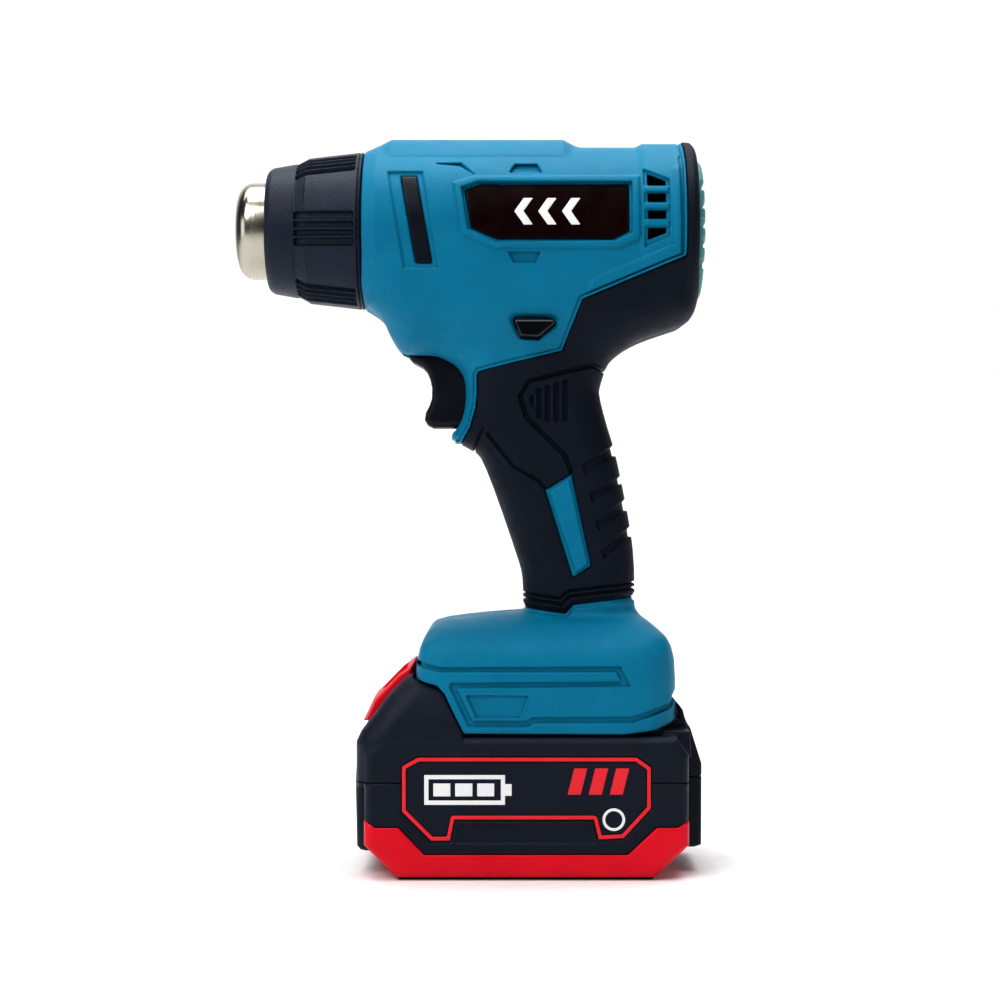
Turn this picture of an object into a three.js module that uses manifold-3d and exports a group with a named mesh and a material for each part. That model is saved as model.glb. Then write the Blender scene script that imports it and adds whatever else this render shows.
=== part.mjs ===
// A cordless heat gun: a pistol-shaped clamshell with a blower and heater in the barrel, a finger
// trigger, a cross-push lock button, and a slide-on battery pack that it also stands on.
// Millimetres, +Z up. The outlet points along -X, the two shells meet on the plane y = 0, and the
// origin is the middle of the pack's foot, on the surface that it stands on.
import * as THREE from 'three';
import { LoftGeometry } from 'three/addons/geometries/LoftGeometry.js';
import { mergeVertices } from 'three/addons/utils/BufferGeometryUtils.js';
import Module from 'manifold-3d';

const wasm = await Module();
wasm.setup();

// ---------- driving dimensions ----------
const AXIS_Z = 220.5; // height of the barrel's axis
const GAP = 0.3; // between touching pieces
const WALL = 3.2; // shell thickness, grip skin included
const SKIN = 1.2; // thickness of the soft grip skin
const SPINE_HALF = 16; // half width of the raised panel along the barrel's top
const SPINE_R = 32;
const FRONT_X = -55.4; // barrel's front face
const REAR_X = 59.5; // barrel's rear face
const NOZZLE_R = 16.8;
const TUBE_WALL = 0.9;
const NOZZLE_TIP_X = -100.1;
const SHIELD_FRONT_X = -89.4;
const CAP_R = 24; // intake grille at the rear
const BAY_TOP = 64.2; // underside of the foot, over the pack's rails
const LEDGE_Z = 48; // the pack's shoulder, which the foot's skirts run over
const PACK_HALF = 37.4; // half width of the pack's case
const SPLIT_Z = 32.4; // parting line of the pack's case
const RAIL_TOP = 63.6;
const CONTACT_Y = 10.5;
const CELL_R = 9.1;
const CELL_LENGTH = 65;
const CELL_PITCH = 18.7;
const RAIL_HALF = 31.6; // half width of the rails and of the pack's shoulder
const CELL_Z = 15; // height of the lower row of cells
const BUTTON_HALF = 23;
const BUTTON_TRAVEL = 4;
const TRIGGER_HALF = 7.5;
const LOCK_HALF = 27;
const LOCK_SHIFT = -2; // the lock button stands out on the left at rest

// Rings of the barrel along X: x, half width, half height.
const BARREL = [
  [FRONT_X, 27.9, 27.9],
  [-51, 30.6, 29.4],
  [38, 30.6, 29],
  [56.5, 31.6, 31],
  [REAR_X, 29.4, 28.8],
];
// Rings of the body under the barrel, up Z: z, front x, rear x, half width.
const LOWER = [
  [176.5, -40.5, 31.2, 20],
  [183, -46.4, 42.3, 24],
  [187.6, -48.2, 55.6, 26],
  [200, -50.4, REAR_X, 29.2],
  [AXIS_Z, -51, REAR_X, 30.4],
];
// Rings of the handle: z, front x, rear x, half width.
const HANDLE = [
  [86, -0.4, 37.4, 17.2],
  [100.6, -0.9, 38, 18],
  [128, -9.9, 34.4, 18.8],
  [140.7, -14.9, 31.7, 18.6],
  [143.8, -18.4, 31, 18.4],
  [146.2, -24.2, 30.3, 18.2],
  [148.8, -25.7, 29.4, 18.2],
  [152.1, -24, 28.3, 18.4],
  [163, -20.8, 25.5, 19],
  [168.5, -21, 26.6, 19.4],
  [172.7, -23.6, 28.4, 19.8],
  [176.5, -30.7, 31.2, 20],
  [182, -31, 31.5, 20],
];
// Rings of the foot: z, front x, rear x, half width, front corner radius, rear corner radius.
const FOOT = [
  [48.5, -37.6, 51.6, 36.4, 14, 21],
  [68, -37.8, 52.2, 36.6, 14, 21],
  [77, -35.9, 50.2, 33.6, 14, 20],
  [81.5, -33.8, 46.8, 28.4, 13, 18],
  [84.6, -30.2, 43.2, 23.4, 12, 16],
  [87.2, -17, 38.8, 18.8, 11, 14],
  [92, -1, 37.8, 17.2, 11, 13],
];
// Edge of the grip skin in side view: under the horn, up behind the trigger, along the body's
// underside and round the rear rim, then down the back to the collar above the foot.
const GRIP_EDGE = [
  [-40, 143.6], [-21.6, 145.9], [-17, 156], [-16.2, 162], [-16.2, 168.2], [-15.6, 169.8],
  [12.5, 177.5], [19.3, 194.6], [53.4, 208], [54, 260], [80, 260], [80, 100],
  [37, 93.9], [16.2, 90.9], [14, 88], [-0.6, 90.4], [-40, 92],
];
// Opening in the foot's skirts that leaves the pack's shoulder bare, in side view.
const BAY_MOUTH = [
  [-60, 40], [-17.5, 40], [-20.9, 48.5], [-27.2, 62.4],
  [-29.7, 64.6], [-36.6, 66.1], [-37.6, 67.4], [-60, 67.4],
];
const ACCENT = [[6.6, 130.2], [15.9, 135.8], [22.6, 104.2], [15.9, 99.6]]; // shell shows through here
const BADGE = [
  [-20.5, 231], [-15.8, 232.8], [34.2, 232.8], [34.6, 216.8],
  [29.5, 214.5], [-10.2, 214.5], [-18.5, 218.2],
];
const INLAY = [[-42.2, 235.9], [-36.5, 235.9], [-31.5, 206.3], [-37, 206.3]];
const VENTS = [
  [[41.3, 236.4], [47.1, 233.8], [47.1, 232.2], [41.3, 232.2]],
  [[41.3, 229.3], [47.1, 229.3], [47.1, 226.8], [41.3, 226.8]],
  [[41.3, 223.8], [47.1, 223.8], [47.1, 221.2], [41.3, 221.2]],
  [[41.3, 218], [47.1, 218], [47.1, 216.4], [41.3, 214]],
];
const LOCK = [[-4, 188], [9.4, 186.6], [9.2, 185.2], [3.8, 182.1], [-1.8, 182.4], [-3.8, 186]];
const SCREWS = [ // x, z, y of the head's seat
  [-34, 245.2, 8], [36, 244.6, 8], [-40, 187, 14], [38, 192, 16],
  [20, 144, 8], [5, 101, 8], [38, 74, 14],
];

// Rings of the pack's case up Z: z, front x, rear x, half width.
const PACK_CORNER = 10;
const FRONT_RIB_HALF = 26;
const REAR_RIB_HALF = 19;
const PACK = [
  [0, -42, 42, 33.6], [1.6, -44, 44, 35.4], [10.5, -53.8, 54, 36.9], [18, -54.2, 54.4, 37.1],
  [43, -54.2, 54.4, PACK_HALF], [LEDGE_Z, -51.6, 51.4, 35.8],
];
const SHOULDER = [
  [-57.2, 44], [-57.2, 47.8], [-55.8, 50.2], [-39.6, 71], [-38.4, 71.8], [-38.4, 67.2], [-37, 65.6],
  [-30.5, RAIL_TOP], [-20, RAIL_TOP], [-20, 44],
];
const FRONT_RIB = [
  [-44, 20], [-44, 48], [-57.2, 48], [-57.9, 32], [-57.3, 9.4], [-56, 8.2], [-44, 8.2],
];
const REAR_RIB = [
  [44, 20], [44, 48.2], [52.2, 48.2], [52.4, 55.6], [56.3, 48.9],
  [60.2, 36.7], [60, 9], [57.4, 8.2], [44, 8.2],
];
const FOOT_SCREWS = [[-28.05, -28], [28.05, -28], [-28.05, 28], [28.05, 28]]; // x, y, between the cells
const SPRING_X = -47.2;
const SPRING_Z = 47.8;
const SPRING_LENGTH = 8;
const SPRING_SEAT = SPRING_Z + SPRING_LENGTH + 0.8; // underside of the button's boss
const BUTTON = [
  [-55, 51.8], [-54.4, 53.2], [-40.4, 71.2], [-38.9, 71.2],
  [-38.9, 66.6], [-41.6, 66.6], [-51.6, 53.8], [-51.6, 51.8],
];
const LABEL = [
  [-36, 40.9], [36.7, 40.9], [41.4, 37.6], [41.4, 24], [32.4, 14.2], [24.1, 13.8],
  [22.5, 20.4], [-24, 20.4], [-25.4, 13.4], [-31.7, 13.4], [-41.3, 23], [-41.3, 38],
];

// ---------- materials ----------
const finish = (color, roughness, metalness = 0) =>
  new THREE.MeshStandardMaterial({ color, roughness, metalness });
const BLUE = finish(0x0a7fa8, 0.45);
const TEAL = finish(0x4f9f9b, 0.5);
const SOFT_BLACK = finish(0x101722, 0.7);
const HARD_BLACK = finish(0x14181f, 0.45);
const GLOSS_BLACK = finish(0x08090b, 0.15);
const RED = finish(0xd2112b, 0.35);
const STEEL = finish(0xb9b3a4, 0.3, 1);
const BRASS = finish(0xb08d4a, 0.35, 1);
const MICA = finish(0xc9bfa5, 0.6);
const BOARD = finish(0x1d5a35, 0.5);
const CELL_WRAP = finish(0x3b7fb5, 0.4);

// ---------- solids ----------
function solidOf(geometry) {
  const bare = geometry.index ? geometry.toNonIndexed() : geometry.clone();
  for (const name of Object.keys(bare.attributes)) if (name !== 'position') bare.deleteAttribute(name);
  const merged = mergeVertices(bare, 1e-4);
  const build = (triVerts) =>
    new wasm.Manifold(
      new wasm.Mesh({ numProp: 3, vertProperties: merged.attributes.position.array, triVerts }),
    );
  const triVerts = new Uint32Array(merged.index.array);
  const made = build(triVerts);
  return made.volume() > 0 ? made : build(triVerts.reverse());
}

const union = (...solids) => solids.reduce((a, b) => a.add(b));
const less = (solid, ...cuts) => cuts.reduce((a, b) => a.subtract(b), solid);
const largest = (solid) => solid.decompose().reduce((a, b) => (a.volume() > b.volume() ? a : b));

const product = new THREE.Group();

function piece(name, solid, material) {
  const { numProp, vertProperties, triVerts } = solid.getMesh();
  const position = new THREE.BufferAttribute(new Float32Array(vertProperties), numProp);
  const geometry = new THREE.BufferGeometry().setAttribute('position', position);
  geometry.setIndex(new THREE.BufferAttribute(triVerts, 1));
  geometry.computeVertexNormals();
  const mesh = new THREE.Mesh(geometry, material);
  mesh.name = name;
  product.add(mesh);
}

function box(x0, x1, y0, y1, z0, z1) {
  const geometry = new THREE.BoxGeometry(x1 - x0, y1 - y0, z1 - z0);
  return solidOf(geometry.translate((x0 + x1) / 2, (y0 + y1) / 2, (z0 + z1) / 2));
}

// An outline in side view (x, z), extruded from y0 to y1.
function prism(outline, y0, y1) {
  const shape = new THREE.Shape(outline.map(([x, z]) => new THREE.Vector2(x, z)));
  const geometry = new THREE.ExtrudeGeometry(shape, { depth: y1 - y0, bevelEnabled: false });
  return solidOf(geometry.rotateX(Math.PI / 2).translate(0, y1, 0));
}

// An outline in plan (x, y), extruded from z0 to z1.
function slab(outline, z0, z1) {
  const shape = new THREE.Shape(outline.map(([x, y]) => new THREE.Vector2(x, y)));
  const geometry = new THREE.ExtrudeGeometry(shape, { depth: z1 - z0, bevelEnabled: false });
  return solidOf(geometry.translate(0, 0, z0));
}

// A closed profile of (x, radius) turned round the barrel's axis.
function turned(profile, segments = 24) {
  const points = [...profile, profile[0]].map(([x, r]) => new THREE.Vector2(r, x));
  return solidOf(new THREE.LatheGeometry(points, segments).rotateZ(-Math.PI / 2).translate(0, 0, AXIS_Z));
}

// A cylinder along Y.
function pin(x, z, radius, y0, y1, segments = 12) {
  const geometry = new THREE.CylinderGeometry(radius, radius, y1 - y0, segments);
  return solidOf(geometry.translate(x, (y0 + y1) / 2, z));
}

// A cylinder along Z.
function post(x, y, radius, z0, z1, segments = 8) {
  const geometry = new THREE.CylinderGeometry(radius, radius, z1 - z0, segments);
  return solidOf(geometry.rotateX(Math.PI / 2).translate(x, y, (z0 + z1) / 2));
}

// Moves an outline's edges outwards (or inwards, if negative), for outlines listed in one turn.
function grown(outline, by) {
  const area = outline.reduce((sum, [x, z], i) => {
    const [u, w] = outline[(i + 1) % outline.length];
    return sum + x * w - u * z;
  }, 0);
  const side = Math.sign(area) * by;
  return outline.map((p, i) => {
    const before = outline[(i + outline.length - 1) % outline.length];
    const after = outline[(i + 1) % outline.length];
    const a = new THREE.Vector2(p[1] - before[1], before[0] - p[0]).normalize();
    const b = new THREE.Vector2(after[1] - p[1], p[0] - after[0]).normalize();
    const scale = side / (1 + a.dot(b));
    return [p[0] + (a.x + b.x) * scale, p[1] + (a.y + b.y) * scale];
  });
}

function rounded(x0, x1, half, frontR, rearR, steps = 3) {
  const corners = [
    [x1, half, rearR, 0],
    [x0, half, frontR, 1],
    [x0, -half, frontR, 2],
    [x1, -half, rearR, 3],
  ];
  return corners.flatMap(([x, y, r, quarter]) =>
    Array.from({ length: steps + 1 }, (_, i) => {
      const angle = (quarter + i / steps) * (Math.PI / 2);
      const cx = x - Math.sign(x - (x0 + x1) / 2) * r;
      return [cx + r * Math.cos(angle), y - Math.sign(y) * r + r * Math.sin(angle)];
    }),
  );
}

function oval(x0, x1, half, power = 2.5, count = 16) {
  return Array.from({ length: count }, (_, i) => {
    const angle = (2 * Math.PI * i) / count;
    const bulge = (v) => Math.sign(v) * Math.abs(v) ** (2 / power);
    return [(x0 + x1) / 2 + ((x1 - x0) / 2) * bulge(Math.cos(angle)), half * bulge(Math.sin(angle))];
  });
}

function loft(sections) {
  return solidOf(new LoftGeometry(sections, { closed: true, capStart: true, capEnd: true }));
}

const level = (outline, z) => outline.map(([x, y]) => new THREE.Vector3(x, y, z));

// ---------- the pistol shape, drawn in by an inset ----------
function drawnIn(rings, inset) {
  const low = rings[0][0] + inset;
  const high = rings[rings.length - 1][0] - inset;
  const between = rings.filter(([place]) => place > low && place < high);
  return [[low, ...rings[0].slice(1)], ...between, [high, ...rings[rings.length - 1].slice(1)]];
}

function barrel(inset) {
  return loft(
    drawnIn(BARREL, inset).map(([x, half, tall]) => {
      const ring = oval(-(half - inset), half - inset, tall - inset, 2, 20);
      return ring.map(([y, z]) => new THREE.Vector3(x, y, AXIS_Z + z));
    }),
  );
}

function spine() {
  const side = [[FRONT_X, 247.5], [-46.5, 252.5], [15.5, 252.5], [19, 248.5], [19, 240], [FRONT_X, 240]];
  const crown = turned([[-60, 0], [-60, SPINE_R], [30, SPINE_R], [30, 0]], 30);
  return prism(side, -SPINE_HALF, SPINE_HALF).intersect(crown);
}

function lowerBody(inset) {
  return loft(
    LOWER.map(([z, front, rear, half], i) =>
      level(rounded(front + inset, rear - inset, half - inset, 14, 13), z + (i === 0 ? inset : 0)),
    ),
  );
}

function handle(inset) {
  return loft(
    HANDLE.map(([z, front, rear, half]) => level(oval(front + inset, rear - inset, half - inset), z)),
  );
}

function foot(inset, base) {
  const rings = FOOT.map(([z, front, rear, half, frontR, rearR]) => {
    const height = Math.max(z - (z > base ? inset : 0), base);
    return level(rounded(front + inset, rear - inset, half - inset, frontR - inset, rearR - inset), height);
  });
  const kept = rings.filter((ring, i) => i === rings.length - 1 || rings[i + 1][0].z > ring[0].z);
  return loft(kept);
}

const upper = (inset) => union(barrel(inset), lowerBody(inset), handle(inset));
const outer = union(upper(0), spine(), foot(0, FOOT[0][0]));

// ---------- clamshell and grip skin ----------
function bay() {
  const throat = foot(WALL, FOOT[0][0] - 5).intersect(box(-80, 80, -50, 50, 40, BAY_TOP));
  const mouth = prism(BAY_MOUTH, -50, 50);
  const rearNotch = box(40, 70, -20, 20, 40, 57.5);
  const catchRecess = box(-45, -31, -7.5, 7.5, 60, 69);
  return union(throat, mouth, rearNotch, catchRecess);
}

function cavity() {
  const sole = foot(WALL, 67.6).intersect(box(-34, 48, -33, 33, 67.6, 100));
  const nose = turned([[-60, 0], [-60, 25.4], [-50, 25.4], [-50, 0]]);
  const intake = turned([[50, 0], [50, 21.4], [64, 21.4], [64, 0]]);
  const capSeat = turned([[REAR_X - SKIN - GAP, 0], [REAR_X - SKIN - GAP, 26], [64, 26], [64, 0]]);
  return union(upper(WALL), sole, nose, intake, capSeat);
}

function openings() {
  const vents = VENTS.map((slot) => prism(slot, -40, 40));
  const triggerSlot = box(-41.4, -12, -TRIGGER_HALF - 0.6, TRIGGER_HALF + 0.6, 150.9, 178.6);
  const terminalSlot = box(-14.5, 30.5, -16.5, 16.5, 60, 70);
  return union(...vents, triggerSlot, prism(grown(LOCK, 0.5), -50, 50), terminalSlot);
}

const recess = (outline, depth) => prism(grown(outline, GAP), -50, 50).subtract(barrel(depth));
const pocketed = union(recess(BADGE, 1.6), recess(INLAY, 1.6));
const gripRegion = prism(GRIP_EDGE, -60, 60).subtract(prism(ACCENT, -60, 60));
const gripRoom = prism(grown(GRIP_EDGE, GAP), -60, 60).subtract(prism(grown(ACCENT, -GAP), -60, 60));
const bosses = SCREWS.map(([x, z]) => pin(x, z, 3.9, -60, 60, 8).intersect(outer));
const screwHoles = SCREWS.map(([x, z, seat]) =>
  union(pin(x, z, 1.6, -8, seat + 1, 8), pin(x, z, 3.3, seat, 60, 8)),
);

const shells = less(
  union(outer.subtract(cavity()), ...bosses),
  bay(),
  openings(),
  pocketed,
  gripRoom.subtract(union(upper(SKIN + GAP), foot(0, FOOT[0][0]))),
  turned([[50, 0], [50, 21.4], [64, 21.4], [64, 0]]),
  ...screwHoles,
);
const lips = (side) => box(-20, 30, side < 0 ? -34 : 29.6, side < 0 ? -29.6 : 34, 49.6, 53.4);
const grip = less(
  outer.subtract(union(upper(SKIN), foot(-GAP, FOOT[0][0]))).intersect(gripRegion),
  turned([[40, 0], [40, CAP_R + 1], [64, CAP_R + 1], [64, 0]]),
  openings(),
  ...screwHoles,
);

for (const [side, name] of [[-1, 'left'], [1, 'right']]) {
  const half = side < 0 ? box(-200, 200, -60, -0.15, 0, 300) : box(-200, 200, 0.15, 60, 0, 300);
  piece(`housing_${name}`, largest(shells.add(lips(side)).intersect(half)), BLUE);
  piece(`grip_skin_${name}`, largest(grip.intersect(half)), SOFT_BLACK);
  const plate = (outline) =>
    prism(outline, -50, 50).intersect(barrel(0.4)).subtract(barrel(1.3)).intersect(half);
  piece(`name_plate_${name}`, largest(plate(BADGE)), GLOSS_BLACK);
  piece(`side_inlay_${name}`, largest(plate(INLAY)), SOFT_BLACK);
}

SCREWS.forEach(([x, z, seat], i) => {
  const screw = union(pin(x, z, 1.3, -6, seat + GAP + 1, 8), pin(x, z, 2.8, seat + GAP, seat + 2.5, 8));
  piece(`housing_screw_${i + 1}`, screw, STEEL);
});

// ---------- outlet and heater ----------
function nozzle() {
  const [along, inward] = [5.5, 7];
  const rolled = (skin) =>
    Array.from({ length: 5 }, (_, i) => {
      const angle = (i / 4) * (Math.PI / 2);
      const x = NOZZLE_TIP_X + along - (along - skin) * Math.cos(angle);
      return [x, NOZZLE_R - inward + (inward - skin) * Math.sin(angle)];
    });
  const flange = [[-47, NOZZLE_R], [-47, 25], [-46, 25], [-46, NOZZLE_R - TUBE_WALL]];
  return turned([...rolled(0), ...flange, ...rolled(TUBE_WALL).reverse()]);
}
piece('nozzle', nozzle(), STEEL);

function heatShield() {
  const rear = FRONT_X - GAP;
  const body = turned([
    [SHIELD_FRONT_X, 17.8], [SHIELD_FRONT_X, 19.6], [-87.6, 21.9], [-79.5, 23.1], [-75, 25.1], [rear, 27.7],
    [rear, 24.9], [-49, 24.9], [-49, 22.6], [-60, 22.6], [-78, 19.6], [-87, 18.6], [-88.4, 17.8],
  ], 30);
  const grooves = [];
  for (let pocket = 0; pocket < 6; pocket++) {
    for (let line = 0; line < 3; line++) {
      const angle = (pocket * 60 + (line - 1) * 8) * THREE.MathUtils.DEG2RAD;
      const bar = new THREE.BoxGeometry(18.4, 1.7, 1.6).rotateY(THREE.MathUtils.degToRad(6));
      bar.translate(-67.6, 0, 26.2).rotateX(angle + Math.PI / 2).translate(0, 0, AXIS_Z);
      grooves.push(solidOf(bar));
    }
  }
  return less(body, ...grooves);
}
piece('heat_shield', heatShield(), HARD_BLACK);

piece('mica_sleeve', turned([[-90, 15], [-90, 15.5], [-40, 15.5], [-40, 15]]), MICA);

function heaterCore() {
  const blades = [0, 1].map((k) => {
    const blade = new THREE.BoxGeometry(42, 1.2, 21.4).rotateX((k * Math.PI) / 2 + Math.PI / 4);
    return solidOf(blade.translate(-66, 0, AXIS_Z));
  });
  return union(...blades);
}
piece('heater_core', heaterCore(), MICA);

// A wire of a given radius wound from the origin along +Z.
function coil(radius, wire, turns, length) {
  class Helix extends THREE.Curve {
    getPoint(t, target = new THREE.Vector3()) {
      const angle = 2 * Math.PI * turns * t;
      return target.set(radius * Math.cos(angle), radius * Math.sin(angle), length * t);
    }
  }
  const sides = 4;
  const ring = Array.from({ length: sides }, (_, i) => {
    const angle = (2 * Math.PI * i) / sides;
    return new THREE.Vector2(wire * Math.cos(angle), wire * Math.sin(angle));
  });
  const shape = new THREE.Shape(ring);
  const extrudePath = new Helix();
  return new THREE.ExtrudeGeometry(shape, { steps: turns * 8, extrudePath, bevelEnabled: false });
}
const windingPitch = 4.5;
const winding = coil(11.8, 0.6, 8, 8 * windingPitch).rotateY(Math.PI / 2).translate(-84, 0, AXIS_Z);
piece('heater_winding', solidOf(winding), STEEL);
piece('thermal_cutout', turned([[-43.4, 0], [-43.4, 4], [-37, 4], [-37, 0]], 12), BRASS);

piece('air_guide', turned([
  [-45.6, 15.9], [-45.6, 17.6], [-39, 17.8], [-8, 22.6], [12, 22.6], [12, 21.8], [-7.6, 21.8], [-38.6, 16.9],
]), HARD_BLACK);

// ---------- blower ----------
piece('motor_can', turned([[16.5, 3.4], [16.5, 13.8], [47, 13.8], [47, 3.4]], 20), STEEL);
piece('motor_shaft', turned([[-6, 0], [-6, 1.1], [50, 1.1], [50, 0]], 12), STEEL);

function motorMount() {
  const ring = turned([[20, 14.1], [20, 16.4], [34, 16.4], [34, 14.1]], 20);
  const arms = [0, 1, 2].map((k) => {
    const arm = new THREE.BoxGeometry(10, 3, 9.8).translate(26, 0, 20.5);
    return solidOf(arm.rotateX((k * 2 * Math.PI) / 3).translate(0, 0, AXIS_Z));
  });
  const clear = turned([[18, 0], [18, 14.1], [36, 14.1], [36, 0]], 20);
  return union(ring, ...arms).subtract(clear);
}
piece('motor_mount', motorMount(), HARD_BLACK);

function fan() {
  const hub = turned([[-3, 1.2], [-3, 5.4], [-0.5, 8], [9, 8], [9, 1.2]], 24);
  const blades = Array.from({ length: 9 }, (_, k) => {
    const blade = new THREE.BoxGeometry(1.2, 9.5, 14).rotateZ(0.85).translate(4, 0, 14);
    return solidOf(blade.rotateX((k * 2 * Math.PI) / 9).translate(0, 0, AXIS_Z));
  });
  const tips = turned([[-2, 1.2], [-2, 20.8], [9, 20.8], [9, 1.2]]);
  return union(hub, union(...blades).intersect(tips));
}
piece('fan_impeller', fan(), HARD_BLACK);

function rearCap() {
  const dome = turned([
    [REAR_X - SKIN, 0], [REAR_X - SKIN, CAP_R], [REAR_X - 0.2, CAP_R],
    [61.2, 21.6], [62, 15], [62.5, 8], [62.5, 0],
  ], 30);
  const hollow = turned([
    [REAR_X - 5, 0], [REAR_X - 5, 20.5], [59.4, 20.5],
    [60.4, 15], [60.9, 8], [60.9, 0],
  ], 24);
  const slots = [];
  for (let row = -2; row <= 2; row++) {
    const height = row * 6.6;
    const reach = Math.sqrt(19 ** 2 - height ** 2);
    for (const [y0, y1] of [[-reach, -1], [1, reach]]) {
      slots.push(box(50, 70, y0, y1, AXIS_Z + height - 1.6, AXIS_Z + height + 1.6));
    }
  }
  return less(dome, hollow, ...slots);
}
piece('rear_cap', rearCap(), TEAL);

// ---------- trigger, lock and electronics ----------
const TRIGGER = [
  [-40.6, 177.8], [-40.4, 176], [-39.2, 174.5], [-35.7, 172.7], [-34.2, 171.3], [-33, 168.7], [-32.3, 165.4],
  [-32.3, 162.2], [-33.3, 159.4], [-34.5, 156.8], [-34.9, 154.4], [-33.9, 152.7], [-32.2, 151.6],
  [-20, 151.6], [-17, 158], [-17, 177.8],
];
piece('trigger', prism(TRIGGER, -TRIGGER_HALF, TRIGGER_HALF), HARD_BLACK);
piece('trigger_switch', box(-4, 17, -8.5, 8.5, 152, 173), HARD_BLACK);
const returnSpring = coil(3.4, 0.45, 5, 11.9).rotateY(Math.PI / 2).translate(-16.4, 0, 163);
piece('trigger_spring', solidOf(returnSpring), STEEL);

piece('lock_button', prism(LOCK, -LOCK_HALF + LOCK_SHIFT, LOCK_HALF + LOCK_SHIFT), GLOSS_BLACK);
piece('control_board', box(-22, 34, -16, 16, 75, 76.6), BOARD);

const terminalWells = [-1, 1].map((side) =>
  box(-15, 12, side * CONTACT_Y - 0.9, side * CONTACT_Y + 0.9, 50, 71),
);
piece('terminal_block', less(box(-14, 30, -16, 16, BAY_TOP, 70), ...terminalWells), HARD_BLACK);
for (const [side, name] of [[-1, 'positive'], [1, 'negative']]) {
  const y = side * CONTACT_Y;
  piece(`contact_${name}`, box(-10, 11.5, y - 0.5, y + 0.5, 56.5, 72), BRASS);
}

// ---------- battery pack ----------
function packBody(inset) {
  const corner = PACK_CORNER - inset;
  return loft(
    drawnIn(PACK, inset).map(([z, front, rear, half]) =>
      level(rounded(front + inset, rear - inset, half - inset, corner, corner), z),
    ),
  );
}

// The raised part of the pack: shoulder in front, slide rails under the foot.
function packTop() {
  const neck = box(-30, 45, -28.9, 28.9, 43, 56);
  const rails = box(-30, 45, -RAIL_HALF, RAIL_HALF, 53.8, RAIL_TOP);
  const plan = slab(rounded(-80, 46, RAIL_HALF, 4, 17), 40, 80);
  return union(neck, rails, prism(SHOULDER, -RAIL_HALF, RAIL_HALF)).intersect(plan);
}

function bumper(from, to) {
  const sides = prism([[-42.6, 17.7], [-34.1, 8.6], [33.9, 8.6], [43.4, 17.7]], -50, 50);
  const ends = union(box(-70, 0, -27, 27, 7.8, 17.7), box(0, 70, -20, 20, 7.8, 17.7));
  const band = box(-80, 80, -50, 50, 1.7, 17.6).subtract(union(sides, ends));
  return packBody(from).subtract(packBody(to)).intersect(band);
}

const down = (outline, by) => outline.map(([x, z]) => [x, z - by]);
const BUTTON_STEPS = 6; // steps of its travel, each under twice the clearance
const buttonRoom = union(
  ...Array.from({ length: BUTTON_STEPS + 1 }, (_, step) => {
    const outline = down(grown(BUTTON, 0.35), (step / BUTTON_STEPS) * BUTTON_TRAVEL);
    return prism(outline, -BUTTON_HALF - 0.4, BUTTON_HALF + 0.4);
  }),
);
const latch = box(-45, -32.2, -5.6, 5.6, 64.2, 66.8);
const latchRoom = box(-45.4, -31.6, -6, 6, 64.2 - BUTTON_TRAVEL - 0.4, 80);
const springBoss = box(SPRING_X - 2, SPRING_X + 2, -2, 2, SPRING_SEAT, SPRING_SEAT + 4.4);
const springWell = post(SPRING_X, 0, 3.6, SPRING_Z - 0.7, SPRING_SEAT + 4, 12);
const packWells = [-1, 1].map((side) =>
  box(-12, 50, side * CONTACT_Y - 1.2, side * CONTACT_Y + 1.2, 52, 70),
);

const frontRib = prism(FRONT_RIB, -FRONT_RIB_HALF, FRONT_RIB_HALF);
const rearRib = prism(REAR_RIB, -REAR_RIB_HALF, REAR_RIB_HALF);
const caseOuter = union(packBody(0), packTop(), frontRib, rearRib);
const caseHollow = union(
  packBody(2.2),
  box(-28, 42.6, -26.5, 26.5, 43, 57),
  box(-28, 42.6, -29.4, 29.4, 56.2, 61.2),
);
const screwBosses = FOOT_SCREWS.map(([x, y]) => post(x, y, 4, 1, 4.8));
const screwSeats = FOOT_SCREWS.map(([x, y]) => union(post(x, y, 3.1, -1, 2.2), post(x, y, 1.5, 0, 6)));
const packCase = less(
  union(caseOuter.subtract(caseHollow), ...screwBosses),
  ...screwSeats,
  springWell,
  bumper(-0.1, 1.5).intersect(box(-80, 80, -50, 50, 0, 17.9)),
  prism(grown(LABEL, 0.3), -50, 50).subtract(box(-80, 80, -36.6, 36.6, 0, 60)),
  buttonRoom,
  latchRoom,
  ...packWells,
);
const above = box(-100, 100, -60, 60, SPLIT_Z + 0.15, 100);
const below = box(-100, 100, -60, 60, -10, SPLIT_Z - 0.15);
piece('pack_case_upper', largest(packCase.intersect(above)), HARD_BLACK);
piece('pack_case_lower', largest(packCase.intersect(below)), HARD_BLACK);
piece('pack_bumper', largest(bumper(0, 1.2)), RED);
piece('release_button', union(prism(BUTTON, -BUTTON_HALF, BUTTON_HALF), latch, springBoss), RED);
const labelPlate = prism(LABEL, -50, 50).intersect(packBody(0.1));
piece('pack_label_left', largest(labelPlate.intersect(box(-80, 80, -50, -36.8, 0, 60))), SOFT_BLACK);
piece('pack_label_right', largest(labelPlate.intersect(box(-80, 80, 36.8, 50, 0, 60))), SOFT_BLACK);

const cellSpots = Array.from({ length: 10 }, (_, i) => [
  ((i % 5) - 2) * CELL_PITCH,
  CELL_Z + Math.floor(i / 5) * CELL_PITCH,
]);
cellSpots.forEach(([x, z], i) => {
  piece(`cell_${i + 1}`, pin(x, z, CELL_R, -CELL_LENGTH / 2, CELL_LENGTH / 2, 16), CELL_WRAP);
});

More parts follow.
